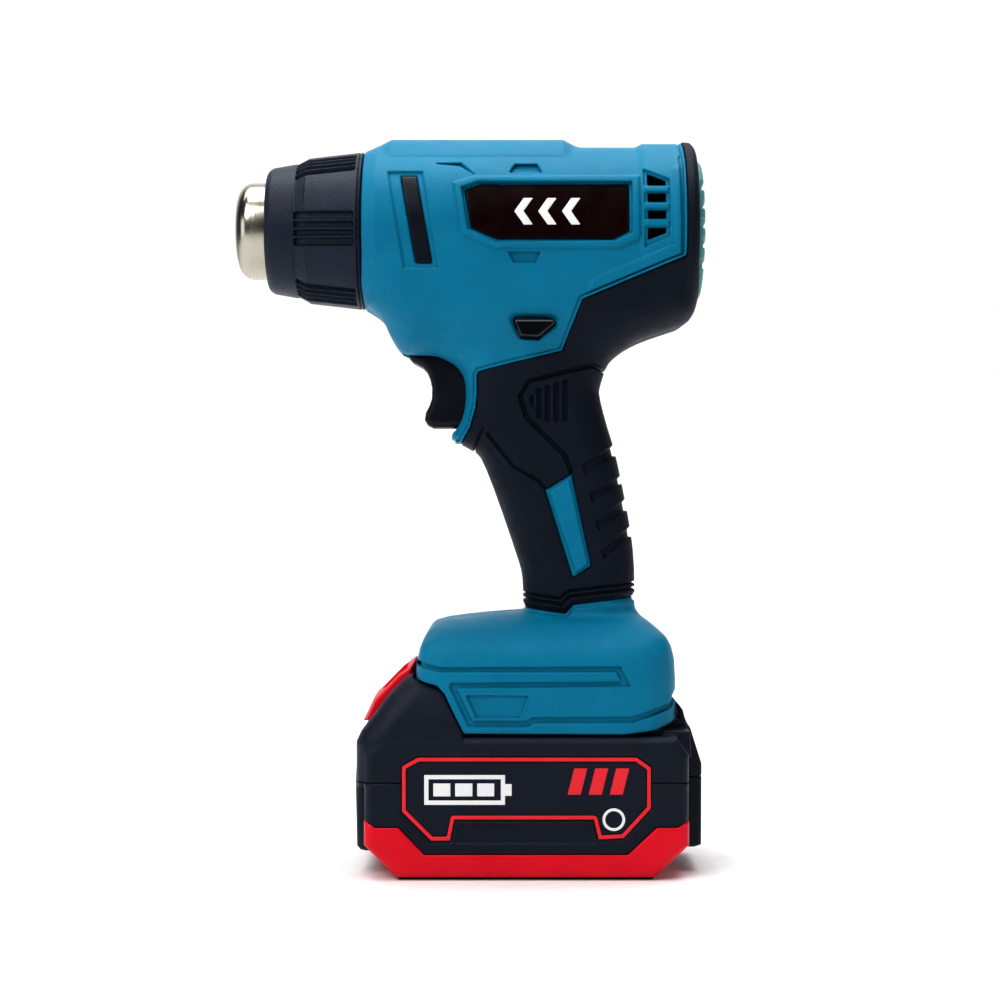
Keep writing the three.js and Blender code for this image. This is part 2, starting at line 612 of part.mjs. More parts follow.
function cellHolder() {
  const plates = [-1, 1].map((side) => box(-40, 40, side * 33.5 - 0.6, side * 33.5 + 0.6, 11, 43.9));
  const ties = [-35, 35].map((x) => box(x - 4, x + 4, -33.5, 33.5, 43.1, 43.9));
  const windows = [-2, -1, 0, 1, 2].map((i) => box(i * CELL_PITCH - 4, i * CELL_PITCH + 4, -50, 50, 13, 35));
  return less(union(...plates, ...ties), ...windows);
}
piece('cell_holder', cellHolder(), HARD_BLACK);
piece('pack_board', box(-26, 40, -24, 24, 44.2, 45.4), BOARD);
for (const [side, name] of [[-1, 'positive'], [1, 'negative']]) {
  const y = side * CONTACT_Y;
  const socket = box(-6, 6, y - 2.4, y + 2.4, 45.7, 59).subtract(box(-7, 7, y - 0.8, y + 0.8, 50, 60));
  piece(`pack_socket_${name}`, socket, BRASS);
}
piece('button_spring', solidOf(coil(2.6, 0.4, 4, SPRING_LENGTH).translate(SPRING_X, 0, SPRING_Z)), STEEL);
FOOT_SCREWS.forEach(([x, y], i) => {
  piece(`pack_screw_${i + 1}`, union(post(x, y, 2.6, 0.5, 1.9), post(x, y, 1.2, 1, 8.4)), STEEL);
});

export default product;
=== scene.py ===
"""Looks of a cordless heat gun: sculpted shells, procedural finishes and a small studio.

Outlines below are in millimetres in the part's own frame: x along the barrel, y across, z up.
"""

import math
from functools import reduce

import bpy
import numpy as np
import openvdb
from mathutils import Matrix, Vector


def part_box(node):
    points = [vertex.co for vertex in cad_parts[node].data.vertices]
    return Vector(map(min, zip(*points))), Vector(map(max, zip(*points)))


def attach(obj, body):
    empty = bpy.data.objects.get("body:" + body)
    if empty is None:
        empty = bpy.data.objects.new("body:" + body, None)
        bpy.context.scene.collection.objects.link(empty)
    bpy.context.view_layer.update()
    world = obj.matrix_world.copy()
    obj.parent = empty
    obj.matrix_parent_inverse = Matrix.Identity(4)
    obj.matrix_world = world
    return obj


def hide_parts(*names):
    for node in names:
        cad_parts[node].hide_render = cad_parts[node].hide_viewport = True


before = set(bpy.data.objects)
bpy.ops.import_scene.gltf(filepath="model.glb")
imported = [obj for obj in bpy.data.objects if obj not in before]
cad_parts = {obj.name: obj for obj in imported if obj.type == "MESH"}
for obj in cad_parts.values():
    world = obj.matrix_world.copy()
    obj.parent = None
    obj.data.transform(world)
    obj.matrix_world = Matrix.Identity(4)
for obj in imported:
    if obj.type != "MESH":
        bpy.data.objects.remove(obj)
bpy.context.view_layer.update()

MM = 0.001
AXIS_Z = 220.5  # height of the barrel's axis
BARREL_FRONT, BARREL_REAR = -55.5, 58.6
SEAM = 0.12  # each shell stops this far from the mid-plane
TONGUE, TONGUE_ROOM = 0.9, 1.05  # how far the seam's tongue and its groove pass the mid-plane
SKIN = 2.2  # depth of the soft grip
WALL = 3.2  # thickness of the shells
CASE_HALF, BUMPER_HALF = 36.9, 37.3  # half widths of the pack's case and of its bumper
BUTTON_HALF, BUTTON_TRAVEL = 23, 4
SPRING_X = -47.2  # the release button's spring
TUBE_TIP, TUBE_BACK, TUBE_RADIUS, TUBE_WALL = -100.1, -46.2, 16.8, 0.9
LIP_LENGTH, LIP_HEIGHT = 5.5, 7  # the outlet tube's rounded front
FOOT_SCREW_SEAT = 2.2  # height under the heads of the pack's screws
SHELL_STEP, PART_STEP, SCREW_STEP = 0.45, 0.35, 0.22  # sculpting steps
FINE = 1.0  # sculpting step multiplier


# ---------- distance fields ----------
class Outline:
    """A closed outline; negative inside. Chaikin rounds soften its corners."""

    def __init__(self, points, rounds=0):
        p = np.array(points, float)
        for _ in range(rounds):
            q = np.roll(p, -1, 0)
            p = np.stack([p * 0.75 + q * 0.25, p * 0.25 + q * 0.75], 1).reshape(-1, 2)
        self.start, self.end = p, np.roll(p, -1, 0)
        self.low, self.high = p.min(0), p.max(0)

    def far(self, u, v):
        du = np.maximum(np.maximum(self.low[0] - u, u - self.high[0]), 0)
        dv = np.maximum(np.maximum(self.low[1] - v, v - self.high[1]), 0)
        return np.hypot(du, dv)

    def __call__(self, u, v):
        away = self.far(u, v)
        if away.min() > 6:
            return away
        best = np.full(away.shape, 1e9)
        inside = np.zeros(away.shape, bool)
        for (ax, ay), (bx, by) in zip(self.start, self.end):
            ex, ey = bx - ax, by - ay
            wx, wy = u - ax, v - ay
            t = np.clip((wx * ex + wy * ey) / (ex * ex + ey * ey), 0, 1)
            best = np.minimum(best, (wx - ex * t) ** 2 + (wy - ey * t) ** 2)
            crosses = (ay > v) != (by > v)
            inside ^= crosses & ((ex * wy - ey * wx > 0) == (by > ay))
        return np.where(inside, -1, 1) * np.sqrt(best)


class Line(Outline):
    """An open line; the distance is never negative."""

    def __call__(self, u, v):
        away = self.far(u, v)
        if away.min() > 6:
            return away
        best = np.full(away.shape, 1e9)
        for (ax, ay), (bx, by) in list(zip(self.start, self.end))[:-1]:
            ex, ey = bx - ax, by - ay
            t = np.clip(((u - ax) * ex + (v - ay) * ey) / (ex * ex + ey * ey), 0, 1)
            best = np.minimum(best, (u - ax - ex * t) ** 2 + (v - ay - ey * t) ** 2)
        return np.sqrt(best)


def table(knots, soft):
    """A smooth curve through (place, value) knots, as a function of place."""
    at, value = np.array(knots, float).T
    spacing = 0.25
    places = np.arange(at[0] - 10, at[-1] + 10, spacing)
    width = max(int(soft / spacing), 1)
    kernel = np.hanning(width + 2)[1:-1]
    padded = np.pad(np.interp(places, at, value), width, mode="edge")
    values = np.convolve(padded, kernel / kernel.sum(), "same")[width:-width]
    return lambda u: np.interp(u, places, values)


def any_of(*fields):
    """Solid where at least one field is."""
    return reduce(np.minimum, fields)


def all_of(*fields):
    """Solid where every field is."""
    return reduce(np.maximum, fields)


def melt(a, b, k):
    """Joins a and b with a fillet of about k."""
    h = np.maximum(k - np.abs(a - b), 0) / k
    return np.minimum(a, b) - h * h * k / 4


def both(a, b, r):
    """Where a and b overlap, with the shared edge rounded to radius r."""
    ra, rb = np.maximum(a + r, 0), np.maximum(b + r, 0)
    return np.minimum(np.maximum(a + r, b + r), 0) + np.hypot(ra, rb) - r


def cut(a, b, r):
    """a without b, with the new edge rounded to radius r."""
    return both(a, -b, r)


def slab(u, low, high):
    return np.maximum(low - u, u - high)


def box(x, y, z, x0, x1, y0, y1, z0, z1):
    return all_of(slab(x, x0, x1), slab(y, y0, y1), slab(z, z0, z1))


def off_axis(y, z):
    """Distance from the barrel's axis."""
    return np.hypot(y, z - AXIS_Z)


def level(x, z):
    """A height map of zeros."""
    return np.zeros(np.broadcast_shapes(np.shape(x), np.shape(z)))


def ramp(d, width=0.5):
    """1 inside an outline, 0 outside it, with a short slope between."""
    return np.clip(0.5 - d / width, 0, 1)


def put(height, d, value, width=0.5):
    """Sets a height map to a value where d is negative."""
    return height + (value - height) * ramp(d, width)


# ---------- sculpting ----------
def sculpt(field, low, high, step):
    """Meshes the zero surface of a field (mm) and returns its points and quads.

    The box is split into blocks, and only those that the surface can reach are worked out.
    """
    step *= FINE
    size = 24  # samples along a block
    low, high = np.array(low, float) - 2 * step, np.array(high, float) + 2 * step
    blocks = np.ceil((high - low) / (step * size)).astype(int)
    counts = blocks * size
    axes = [low[i] + step * np.arange(counts[i]) for i in range(3)]
    middle = [low[i] + step * (size * (np.arange(blocks[i]) + 0.5)) for i in range(3)]
    coarse = field(middle[0][:, None, None], middle[1][None, :, None], middle[2][None, None, :])
    values = np.empty(counts, np.float32)
    reach = size * step * 0.95 + 0.8
    limit = 3 * step
    for i, j, k in np.ndindex(*blocks):
        span = [slice(n * size, (n + 1) * size) for n in (i, j, k)]
        centre = coarse[i, j, k]
        if abs(centre) > reach:
            values[tuple(span)] = limit if centre > 0 else -limit
            continue
        x, y, z = (axes[n][span[n]] for n in range(3))
        values[tuple(span)] = field(x[:, None, None], y[None, :, None], z[None, None, :])
    np.clip(values, -limit, limit, out=values)
    grid = openvdb.FloatGrid(limit)
    grid.copyFromArray(values)
    points, tris, quads = grid.convertToPolygons(isovalue=0.0, adaptivity=0.0)
    points, quads = low + step * np.asarray(points, float), np.asarray(quads)
    points = settled(field, points, step)
    points = settled(field, evened(points, quads), step)
    return points, quads


def evened(points, quads):
    """Moves points part of the way to the middle of their neighbours, to space them evenly."""
    own = quads.ravel()
    total, count = np.zeros_like(points), np.zeros(len(points))
    for turn in (1, 3):
        near = np.roll(quads, turn, axis=1).ravel()
        count += np.bincount(own, minlength=len(points))
        for axis in range(3):
            total[:, axis] += np.bincount(own, points[near, axis], len(points))
    return points + 0.4 * (total / np.maximum(count, 1)[:, None] - points)


def settled(field, points, step):
    """Moves points onto the zero surface along its slope."""
    x, y, z = points.T
    e = 0.05
    d = field(x, y, z)
    ahead = [field(x + e, y, z), field(x, y + e, z), field(x, y, z + e)]
    slope = np.stack([a - d for a in ahead], 1) / e
    steep = np.maximum((slope**2).sum(1), 0.25)
    move = -slope * (d / steep)[:, None]
    length = np.maximum(np.linalg.norm(move, axis=1), 1e-9)
    return points + move * np.minimum(1, 0.45 * step / length)[:, None]


def piece(name, points, faces, finish, body, mirror=False):
    """Makes a mesh object from points in millimetres and equal-sized faces."""
    points = np.array(points, float) * MM
    faces = np.array(faces)
    if mirror:
        points[:, 1] *= -1
    a, b, c = (points[faces[:, n]] for n in range(3))
    if np.einsum("ij,ij->i", a, np.cross(b, c)).sum() < 0:
        faces = faces[:, ::-1]
    used, flat = np.unique(faces, return_inverse=True)
    mesh = bpy.data.meshes.new(name)
    mesh.from_pydata(points[used].tolist(), [], flat.reshape(faces.shape).tolist())
    mesh.polygons.foreach_set("use_smooth", np.ones(len(faces), bool))
    mesh.materials.append(finish)
    obj = bpy.data.objects.new(name, mesh)
    bpy.context.scene.collection.objects.link(obj)
    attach(obj, body)
    return obj


def show(obj, slot, *nodes):
    """Hides the CAD nodes that a piece stands for."""
    if nodes:
        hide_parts(*nodes)


# ---------- outlines of the pistol ----------
BODY = Outline([
    (-55.3, 222), (-55.3, 194), (-49.8, 189.4), (-48.3, 187.2), (-46.4, 182.6), (-43.6, 178),
    (-40.7, 176.6), (-30.7, 176.5), (-27.5, 175), (-23.6, 172.7), (-21, 168.5), (-20.6, 161.9),
    (-21.6, 155.4),
    (-23.8, 151.5), (-25.8, 148.8), (-24.8, 146.4), (-21.9, 145.9), (-18.9, 144.1), (-17.3, 143.4),
    (-14.9, 140.7), (-9.9, 128), (-2.6, 106.6), (-0.9, 100.6), (-0.6, 94), (-0.5, 80),
    (37.8, 80), (38, 100.3), (37.1, 112.6), (34.6, 126.6), (31.1, 143.4), (27.6, 154.6),
    (25.5, 163), (25.8, 165.8), (27.6, 171.4), (29, 174.2), (31.8, 177), (35.7, 179.8),
    (41.3, 182.6), (49.3, 185.4), (54.8, 187.2), (57.5, 190.5), (58.5, 196), (58.6, 222),
], 1)
HALF = table([
    (80, 17.2), (100.6, 18), (128, 18.8), (140, 18.6), (150, 18.4), (163, 19), (172, 19.6),
    (178, 21), (184, 24), (191, 27.2), (204, 29.6), (222, 30.2),
], 6)
BARREL_R = table([
    (-58, 26.7), (-55.2, 27.5), (-51, 29.1), (38, 29), (40.4, 30.2), (53.6, 30.2),
    (54.2, 30.8), (56.8, 30.6), (59.2, 28.4),
], 0.35)
CROWN_R = table([
    (-58, 18.3), (-55.3, 19.7), (-46.4, 24.3), (13.2, 24.3), (19.4, 21), (24, 10),
], 0.4)
FOOT_SIDE = Outline([
    (-37.7, 30), (-37.7, 67.8), (-36.8, 74.1), (-33.8, 81.6), (-30.4, 84.7), (-17.1, 86.8),
    (-1, 88.2), (37, 88), (43.2, 84.4), (48.9, 79), (52.2, 70.6), (51.8, 50), (51.4, 30),
], 1)
FOOT_FRONT = Outline([
    (-60, 20), (36.3, 20), (36.5, 67), (35.2, 74), (31, 79.6), (25, 83.6), (17.5, 88), (0, 97),
    (-60, 97),
], 2)
FOOT_UNDER = Outline([
    (-70, 67.6), (-37.4, 67.2), (-36.8, 66.3), (-29.8, 64.7), (-27.3, 62), (-20.9, 48.7),
    (32.4, 48.4), (43.3, 49.6), (50.3, 52), (70, 60), (70, 200), (-70, 200),
])
GRIP = Outline([
    (-60, 140), (-24, 146), (-21.9, 146.3), (-19, 151.5), (-17, 158.1), (-16.5, 163.2),
    (-16.5, 169.5), (-15.9, 170.5), (12.4, 177.4), (19.2, 194.3), (53.6, 208.6), (54.1, 209.6),
    (54.1, 280), (90, 280),
    (90, 93.4), (37, 93.4), (16.3, 90.9), (13.6, 87.9), (-0.6, 89.7), (-60, 90.4),
])
ACCENT = Outline([(6.6, 130.1), (15.7, 135.7), (22.5, 104), (16.1, 99.9)])
ACCENT_CORE = Outline([(8, 129.4), (14.9, 133.8), (21.2, 104.6), (17.2, 101.9)])

INLAY_FRAME = Outline([(-46.7, 237.6), (-35, 237.6), (-29.3, 204.6), (-41.1, 204.6)])
INLAY = Outline([(-42.3, 236), (-36.9, 236), (-31.6, 206.3), (-37.1, 206.3)])
ARROW = Outline([(-30.2, 240.8), (-22.1, 241), (-17.4, 236.6), (-22.5, 240)])
BADGE_FRAME = Outline([
    (-24.4, 233.6), (-17.3, 235.9), (23.1, 236.1), (38.2, 236.2), (38.2, 214.6), (30.9, 211.3),
    (-10.8, 211.1), (-21.4, 215.9),
])
BADGE_WELL = Outline([
    (-21.8, 231.9), (-16, 233.9), (35.7, 233.9), (35.7, 216.4), (30.3, 213.7), (-10.2, 213.2),
    (-19.6, 217.6),
])
BADGE = Outline([
    (-20.5, 230.9), (-15.7, 232.7), (34.5, 232.9), (34.5, 217), (29.2, 214.3), (-9.9, 214.4),
    (-18.4, 218.1),
])
POCKET_TOP = Outline([(-5.6, 237.4), (-3.6, 240.6), (3.8, 240.6), (5.4, 237.4)])
POCKET_LOW = Outline([(-6, 210), (-4.2, 206.6), (3.4, 206.6), (4.9, 210)])
RIM_BAND = Outline([(55, 243), (49.9, 238.6), (49.9, 212.6), (22.4, 200.8), (19, 193), (55, 206)])
VENT_WELL = Outline([(39.6, 238.4), (48.4, 234.6), (48.4, 215.2), (40, 211.5)])
VENTS = [
    Outline([(40.9, 236.9), (47.1, 234.2), (47.1, 232.5), (40.9, 232.5)]),
    Outline([(40.9, 229.8), (47.1, 229.8), (47.1, 226.7), (40.9, 226.7)]),
    Outline([(40.9, 223.9), (47.1, 223.9), (47.1, 221), (40.9, 221)]),
    Outline([(40.9, 218.1), (47.1, 218.1), (47.1, 216.3), (40.9, 213.9)]),
]
VENT_BARS = (231.15, 225.3, 219.55)
RIM_GROOVE = Line([(52.2, 243), (52.4, 209.2)])
LOCK_DISH = Outline([
    (-5.2, 187.8), (-4.3, 189), (9.4, 188.6), (10.9, 187.1), (10.4, 185.7), (4.5, 181.2), (-2.4, 181.5),
])
LOCK_HOLE = Outline([
    (-4.5, 187.5), (-3.5, 188.7), (9, 188.1), (10.5, 186.4), (4.5, 181), (-2.1, 181.4),
])
BAND = Outline([
    (-36.2, 72.6), (-29, 70.7), (31.4, 71), (34.8, 64.4), (-24.4, 63.8), (-25.9, 65.6),
    (-36.6, 65.8),
])
STRIP = Outline([
    (-40, 71.2), (-36, 70.8), (-29, 69.2), (30.1, 69.2), (31.8, 66), (-24.9, 65.5), (-27, 60),
    (-40, 60),
])
FOOT_CHANNEL = Line([
    (-24.6, 64.4), (-18.6, 51.9), (0.6, 51.9), (2.3, 53.1), (35.6, 53.3), (48.5, 57.3), (51, 61),
])
FOOT_PANEL = Outline([(-20.1, 61.5), (0.8, 61.3), (-2.1, 53.9), (-16.7, 53.9)])
GROOVE_A = Line([
    (32, 169.6), (27.1, 171.2), (23, 172.7), (1.1, 167.1), (-1.9, 162), (0.4, 154.8), (13.4, 142),
    (15.4, 136.5),
])
GROOVE_B = Line([(-13, 149.2), (-4.1, 138.1), (4.9, 132.8), (6.4, 130.6)])
HORN_LIP = Line([(-14.6, 151.2), (-17.9, 143)])
GROOVE_SOFT = Line([(-11.7, 144.1), (-5.8, 136.4), (3.2, 131.7)])
SLOTS = [
    Outline([(2.5, 163), (2.7, 158), (1.2, 160.6)]),
    Outline([(3.9, 154.6), (5.3, 154.6), (5.3, 164.8), (3.9, 164.8)]),
    Outline([(6.8, 153.4), (8.2, 153.4), (8.2, 165.7), (6.8, 165.7)]),
    Outline([(9.8, 153.4), (11.2, 153.4), (11.2, 166.8), (9.8, 166.4)]),
    Outline([(12.8, 153.4), (14.2, 153.4), (14.2, 167.7), (12.8, 167.3)]),
]
THUMB_PADS = [
    Outline([(20.6, 134.7), (31, 142), (42, 149), (42, 153), (30, 145.2), (19.3, 138.4)]),
    Outline([(22.9, 125.7), (32.3, 131.7), (42, 138), (42, 141), (33, 134.8), (22, 128.9)]),
    Outline([(25.1, 116.1), (34.5, 122.7), (44, 129), (44, 132), (33.6, 126.2), (24.1, 119.3)]),
    Outline([(26.8, 106.5), (34.9, 112.9), (46, 120.5), (46, 123.6), (34.7, 116.4), (26, 109.5)]),
]
COLLAR = Line([(-30, 90.2), (-0.6, 89.7), (13.6, 87.9), (16.3, 90.9), (37, 93.4), (60, 93.4)])
SCREWS = [  # x, z, depth of the seat under the head
    (-34, 245.2, 8), (36, 244.6, 8), (-40, 187, 14), (38, 192, 16), (20, 144, 8), (5, 101, 8),
    (38, 74, 14),
]


# ---------- the pistol ----------
def barrel(x, y, z):
    """The round barrel, slightly wider than it is tall."""
    r = off_axis(y * (29 / 30.2), z)
    return both(both(r - BARREL_R(x), x - BARREL_REAR, 1.2), BARREL_FRONT - x, 0.4)


def crown(x, y, z):
    """The raised strip along the barrel's top."""
    arch = np.hypot(y, z - 228) - CROWN_R(x)
    return both(both(arch, slab(x, BARREL_FRONT, 24), 0.4), np.maximum(np.abs(y) - 18.2, 230 - z), 0.6)


def foot(x, y, z):
    """The foot's outer form, before its underside is cut."""
    corner = np.interp(x, [-10, 20], [14, 21])
    qx = np.abs(x - 6.6) - (45.9 - corner)
    qy = np.abs(y) - (36.4 - corner)
    outside = np.hypot(np.maximum(qx, 0), np.maximum(qy, 0))
    plan = outside + np.minimum(np.maximum(qx, qy), 0) - corner
    return both(both(FOOT_SIDE(x, z), FOOT_FRONT(np.abs(y), z), 4.5), plan, 4)


def pistol(x, y, z):
    """The whole outer form, without grooves or openings."""
    lower = both(BODY(x, z), np.abs(y) - HALF(z), 12.5)
    upper = melt(barrel(x, y, z), lower, 3)
    whole = melt(upper, crown(x, y, z), 0.8)
    return melt(whole, both(foot(x, y, z), FOOT_UNDER(x, z), 0.7), 4)


def bay(x, y, z):
    """Room under the foot for the pack's rails and shoulder."""
    throat = np.maximum(foot(x, y, z) + WALL, z - 64.2)
    notch = box(x, y, z, 40, 70, -20.5, 20.5, 30, 57.5)
    catch = box(x, y, z, -45, -31, -7.5, 7.5, 55, 69)
    lips = box(x, np.abs(y), z, -20, 30, 29.8, 40, 49.6, 53.4)
    return any_of(np.maximum(throat, -lips), notch, catch)


def hollow(plain, x, y, z):
    """Inside of the shells, with posts left round the screws."""
    posts = np.min([np.hypot(x - sx, z - sz) for sx, sz, _ in SCREWS], axis=0)
    inside = all_of(plain + WALL, slab(z, 67.6, 400), 3.9 - posts)
    nose = np.maximum(off_axis(y, z) - 25.2, slab(x, -70, -45))
    tail = np.maximum(off_axis(y, z) - 24.4, slab(x, 50, 70))
    return any_of(inside, nose, tail)


def openings(x, y, z):
    """Holes through the shells: side vents, lock, trigger and terminals."""
    vents = np.min([v(x, z) for v in VENTS], axis=0)
    finger_slot = box(x, y, z, -43, -12, -8.1, 8.1, 150.6, 178.4)
    terminals = box(x, y, z, -14.5, 30.5, -16.5, 16.5, 55, 70)
    return any_of(vents, LOCK_HOLE(x, z), finger_slot, terminals)


def screw_holes(x, y, z):
    """Bores for the shanks, and wider wells for the heads."""
    holes = []
    for sx, sz, seat in SCREWS:
        r = np.hypot(x - sx, z - sz)
        holes.append(np.maximum(r - 1.6, -8 - y))
        holes.append(np.maximum(r - 3.3, seat - y))
    return np.min(holes, axis=0)


def shell_relief(x, z):
    """How far the blue shell's side stands proud (+) or sunk (-)."""
    h = level(x, z)
    h = put(h, INLAY_FRAME(x, z), -0.8, 0.7)
    h = put(h, INLAY(x, z), -1.9)
    h = put(h, ARROW(x, z), -1.3, 0.6)
    h = put(h, RIM_BAND(x, z), 0.6, 0.9)
    h = put(h, BADGE_FRAME(x, z), 1.1, 0.8)
    h = put(h, BADGE_WELL(x, z), -0.8, 0.4)
    h = put(h, BADGE(x, z) - 0.2, -1.8, 0.3)
    h = put(h, POCKET_TOP(x, z), -1.4, 0.4)
    h = put(h, POCKET_LOW(x, z), -1.4, 0.4)
    h = put(h, VENT_WELL(x, z), -1.1)
    for bar in VENT_BARS:
        h = put(h, np.maximum(slab(x, 39.9, 48.1), slab(z, bar - 1, bar + 1)), 0.2, 0.7)
    h = put(h, RIM_GROOVE(x, z) - 0.3, -0.6, 0.4)
    h = put(h, LOCK_DISH(x, z), -1.1, 1.4)
    h = put(h, BAND(x, z), -1.7, 0.4)
    h = put(h, np.maximum(BAND(x, z) - 0.4, STRIP(x, z)), 0, 0.5)
    h = put(h, FOOT_CHANNEL(x, z) - 0.95, -1.7, 0.45)
    h = put(h, FOOT_PANEL(x, z) - 0.5, 0.5, 0.4)
    h = put(h, FOOT_PANEL(x, z), -1.2, 0.4)
    edge = GRIP(x, z)
    h = put(h, np.maximum(slab(edge, 0.9, 1.5), 95 - z), -0.6, 0.3)
    h = put(h, np.maximum(slab(edge, -1, 1.5), z - 95), -0.9, 0.5)
    h = put(h, np.maximum(ACCENT(x, z), -ACCENT_CORE(x, z)), -0.9, 0.4)
    return h


def grip_relief(x, z):
    """Grooves, slots and thumb pads of the soft grip, and the rings over the foot."""
    h = level(x, z)
    h = put(h, GROOVE_A(x, z) - 0.65, -1.4, 0.4)
    h = put(h, GROOVE_B(x, z) - 0.4, -1.1, 0.5)
    h = put(h, GROOVE_SOFT(x, z) - 0.5, -0.35, 2.0)
    h = put(h, HORN_LIP(x, z) - 0.35, -0.8, 0.4)
    for slot in SLOTS:
        h = put(h, slot(x, z), -1.15, 0.4)
    for pad in THUMB_PADS:
        h = put(h, pad(x, z), -1.2, 0.45)
    ring = COLLAR(x, z)
    h = put(h, slab(ring, 0, 1.2), -0.5, 0.4)
    h = put(h, slab(ring, 2.4, 3.3), -1.1, 0.4)
    h = put(h, slab(ring, 4.3, 5.1), -1.1, 0.4)
    return h


def seam(y, right):
    return SEAM - y if right else y + SEAM


def lapped_seam(y, plain, right):
    """The shells' seam: a tongue inside the left shell's wall laps into the right one."""
    if right:
        return np.maximum(SEAM - y, -np.maximum(y - TONGUE_ROOM, plain + 2.4))
    return np.minimum(y + SEAM, np.maximum(y - TONGUE, plain + 2.5))


def shell_field(right):
    def field(x, y, z):
        plain = pistol(x, y, z)
        outer = plain - shell_relief(x, z)
        covered = np.maximum(GRIP(x, z), -ACCENT(x, z))
        solid = np.minimum(both(outer, 0.15 - covered, 0.45), plain + SKIN + 0.1)
        solid = np.maximum(solid, -hollow(plain, x, y, z))
        solid = cut(solid, np.minimum(openings(x, y, z), bay(x, y, z)), 0.3)
        if right:
            solid = np.maximum(solid, -screw_holes(x, y, z))
        return both(solid, lapped_seam(y, plain, right), 0.2)
    return field


def grip_field(right):
    def field(x, y, z):
        plain = pistol(x, y, z)
        outer = plain - grip_relief(x, z)
        covered = np.maximum(GRIP(x, z), 0.12 - ACCENT(x, z))
        skin = np.maximum(both(outer, covered + 0.15, 0.5), -(plain + SKIN - 0.1))
        fan_mouth = np.maximum(off_axis(y, z) - 24.6, 40 - x)
        skin = cut(skin, np.minimum(openings(x, y, z), fan_mouth), 0.3)
        if right:
            skin = np.maximum(skin, -screw_holes(x, y, z))
        return both(skin, seam(y, right), 0.3)
    return field


def side_plate(outline, base, top, edge):
    """A thin plate that follows the barrel's side."""
    def field(x, y, z):
        plain = pistol(x, y, z)
        face = both(plain - top, outline(x, z) + 0.15, edge)
        return all_of(face, base - plain, y + 5)
    return field


# ---------- other outlines ----------
PACK_SIDE = Outline([
    (-54, 11.8), (-42.6, 0.05), (42.2, 0.05), (54.1, 11.8), (54.3, 41.5), (50.3, 47.6),
    (-47.2, 47.6), (-54, 43),
])
BUMPER_SIDE = Outline([
    (-54.2, 11.5), (-43, 0.4), (42.6, 0.4), (54.4, 11.5), (54.4, 60), (-54.2, 60),
])
BUMPER_TOP = Outline([
    (-80, 19.8), (-53.6, 19.8), (-50.3, 17.6), (-42.6, 17.6), (-34, 8.6), (33.8, 8.6), (43.4, 17.6),
    (50.3, 17.6), (53.8, 19.6), (80, 19.6), (80, -9), (-80, -9),
])
SHIELD_R = table([
    (-91, 19.6), (-89.2, 20.8), (-87.4, 21.9), (-78.8, 23.4), (-75.4, 25.2), (-56.2, 27.4), (-50, 27.6),
], 1)
SHIELD_BORE = table([
    (-92, 17.7), (-88.4, 17.7), (-87, 18.6), (-78, 19.6), (-60, 22.4), (-48, 22.6),
], 0.5)
SHOULDER = Outline([
    (-57, 30), (-57, 45.5), (-55.4, 49), (-45.8, 61.6), (-40.4, 67), (-37.9, 68.4), (0, 68.4),
    (0, 30),
])
REAR_SHOULDER = Outline([
    (36, 40), (36, 47.9), (43, 49.1), (50.4, 51.6), (52.2, 52.4), (52.2, 57), (53.6, 55), (55.3, 48),
    (55.6, 40),
])
SHOULDER_END = Outline([
    (-80, 20), (-80, 90), (-38, 90), (-38, 66.6), (-37.1, 65.7), (-30, 64.1), (-27.6, 61.6),
    (-21.2, 48), (-21, 20),
])
SHOULDER_HALF = table([(30, 36.6), (47, 36.4), (54, 35.2), (64, 32.4), (72, 29)], 4)
FRONT_RIB = Outline([
    (-44, 4), (-44, 49), (-54.4, 49), (-56.7, 45), (-57.7, 32), (-57.2, 9.6), (-56, 8.2), (-46, 4),
])
REAR_RIB = Outline([
    (44, 8.2), (44, 48.2), (51.9, 48.2), (52.2, 55.2), (56.3, 48.7), (60.1, 36.6), (59.9, 9), (57.4, 8.2),
])
LABEL = Outline([
    (-36, 40.9), (36.7, 40.9), (41.4, 37.6), (41.4, 24), (32.4, 14.2), (24.1, 13.8), (22.5, 20.4),
    (-24, 20.4), (-25.4, 13.4), (-31.7, 13.4), (-41.3, 23), (-41.3, 38),
])
LEG_PANEL = Outline([(-22.6, 18.4), (21.6, 18.4), (22.9, 12.4), (-23.9, 12.4)])
BUTTON = Outline([
    (-55.8, 50.8), (-51.8, 59.2), (-43.4, 67.8), (-38.2, 71.4), (-38, 70.8), (-38, 63.6),
    (-41.6, 60.2), (-50.2, 51.4),
])
SCOOP = Outline([
    (-60, 59.6), (-51, 59.2), (-46, 58.8), (-41.2, 63.8), (-40.2, 68), (-42, 76), (-60, 76),
])
TRIGGER = Outline([
    (-40.6, 177.8), (-40.4, 176), (-39.2, 174.5), (-35.6, 172.6), (-34, 170.8), (-32.9, 168.2),
    (-32.3, 165.2), (-32.4, 161.8), (-33.3, 159.2), (-34.5, 156.8), (-34.9, 154.4), (-33.9, 152.6),
    (-32, 151.6),
    (-20, 151.6), (-17, 158), (-17, 177.8),
])
LOCK = Outline([
    (-4, 187.4), (-3.2, 188.2), (8.9, 187.6), (9.9, 186.3), (4.2, 181.5), (-1.7, 181.9),
])


# ---------- battery pack ----------
def case_body(x, y, z):
    return both(PACK_SIDE(x, z), np.abs(y) - CASE_HALF, 3.2)


def bumper_body(x, y, z):
    return both(BUMPER_SIDE(x, z), np.abs(y) - BUMPER_HALF, 3.6)


def bumper_zone(x, y, z):
    """Region that the bumper covers: below a stepped line, except where the end ribs stand."""
    gap = np.where(x < 0, 26.2, 19.2)
    ribs = all_of(45 - np.abs(x), np.abs(y) - gap, 7.9 - z)
    return all_of(BUMPER_TOP(x, z), -ribs, 0.7 - z)


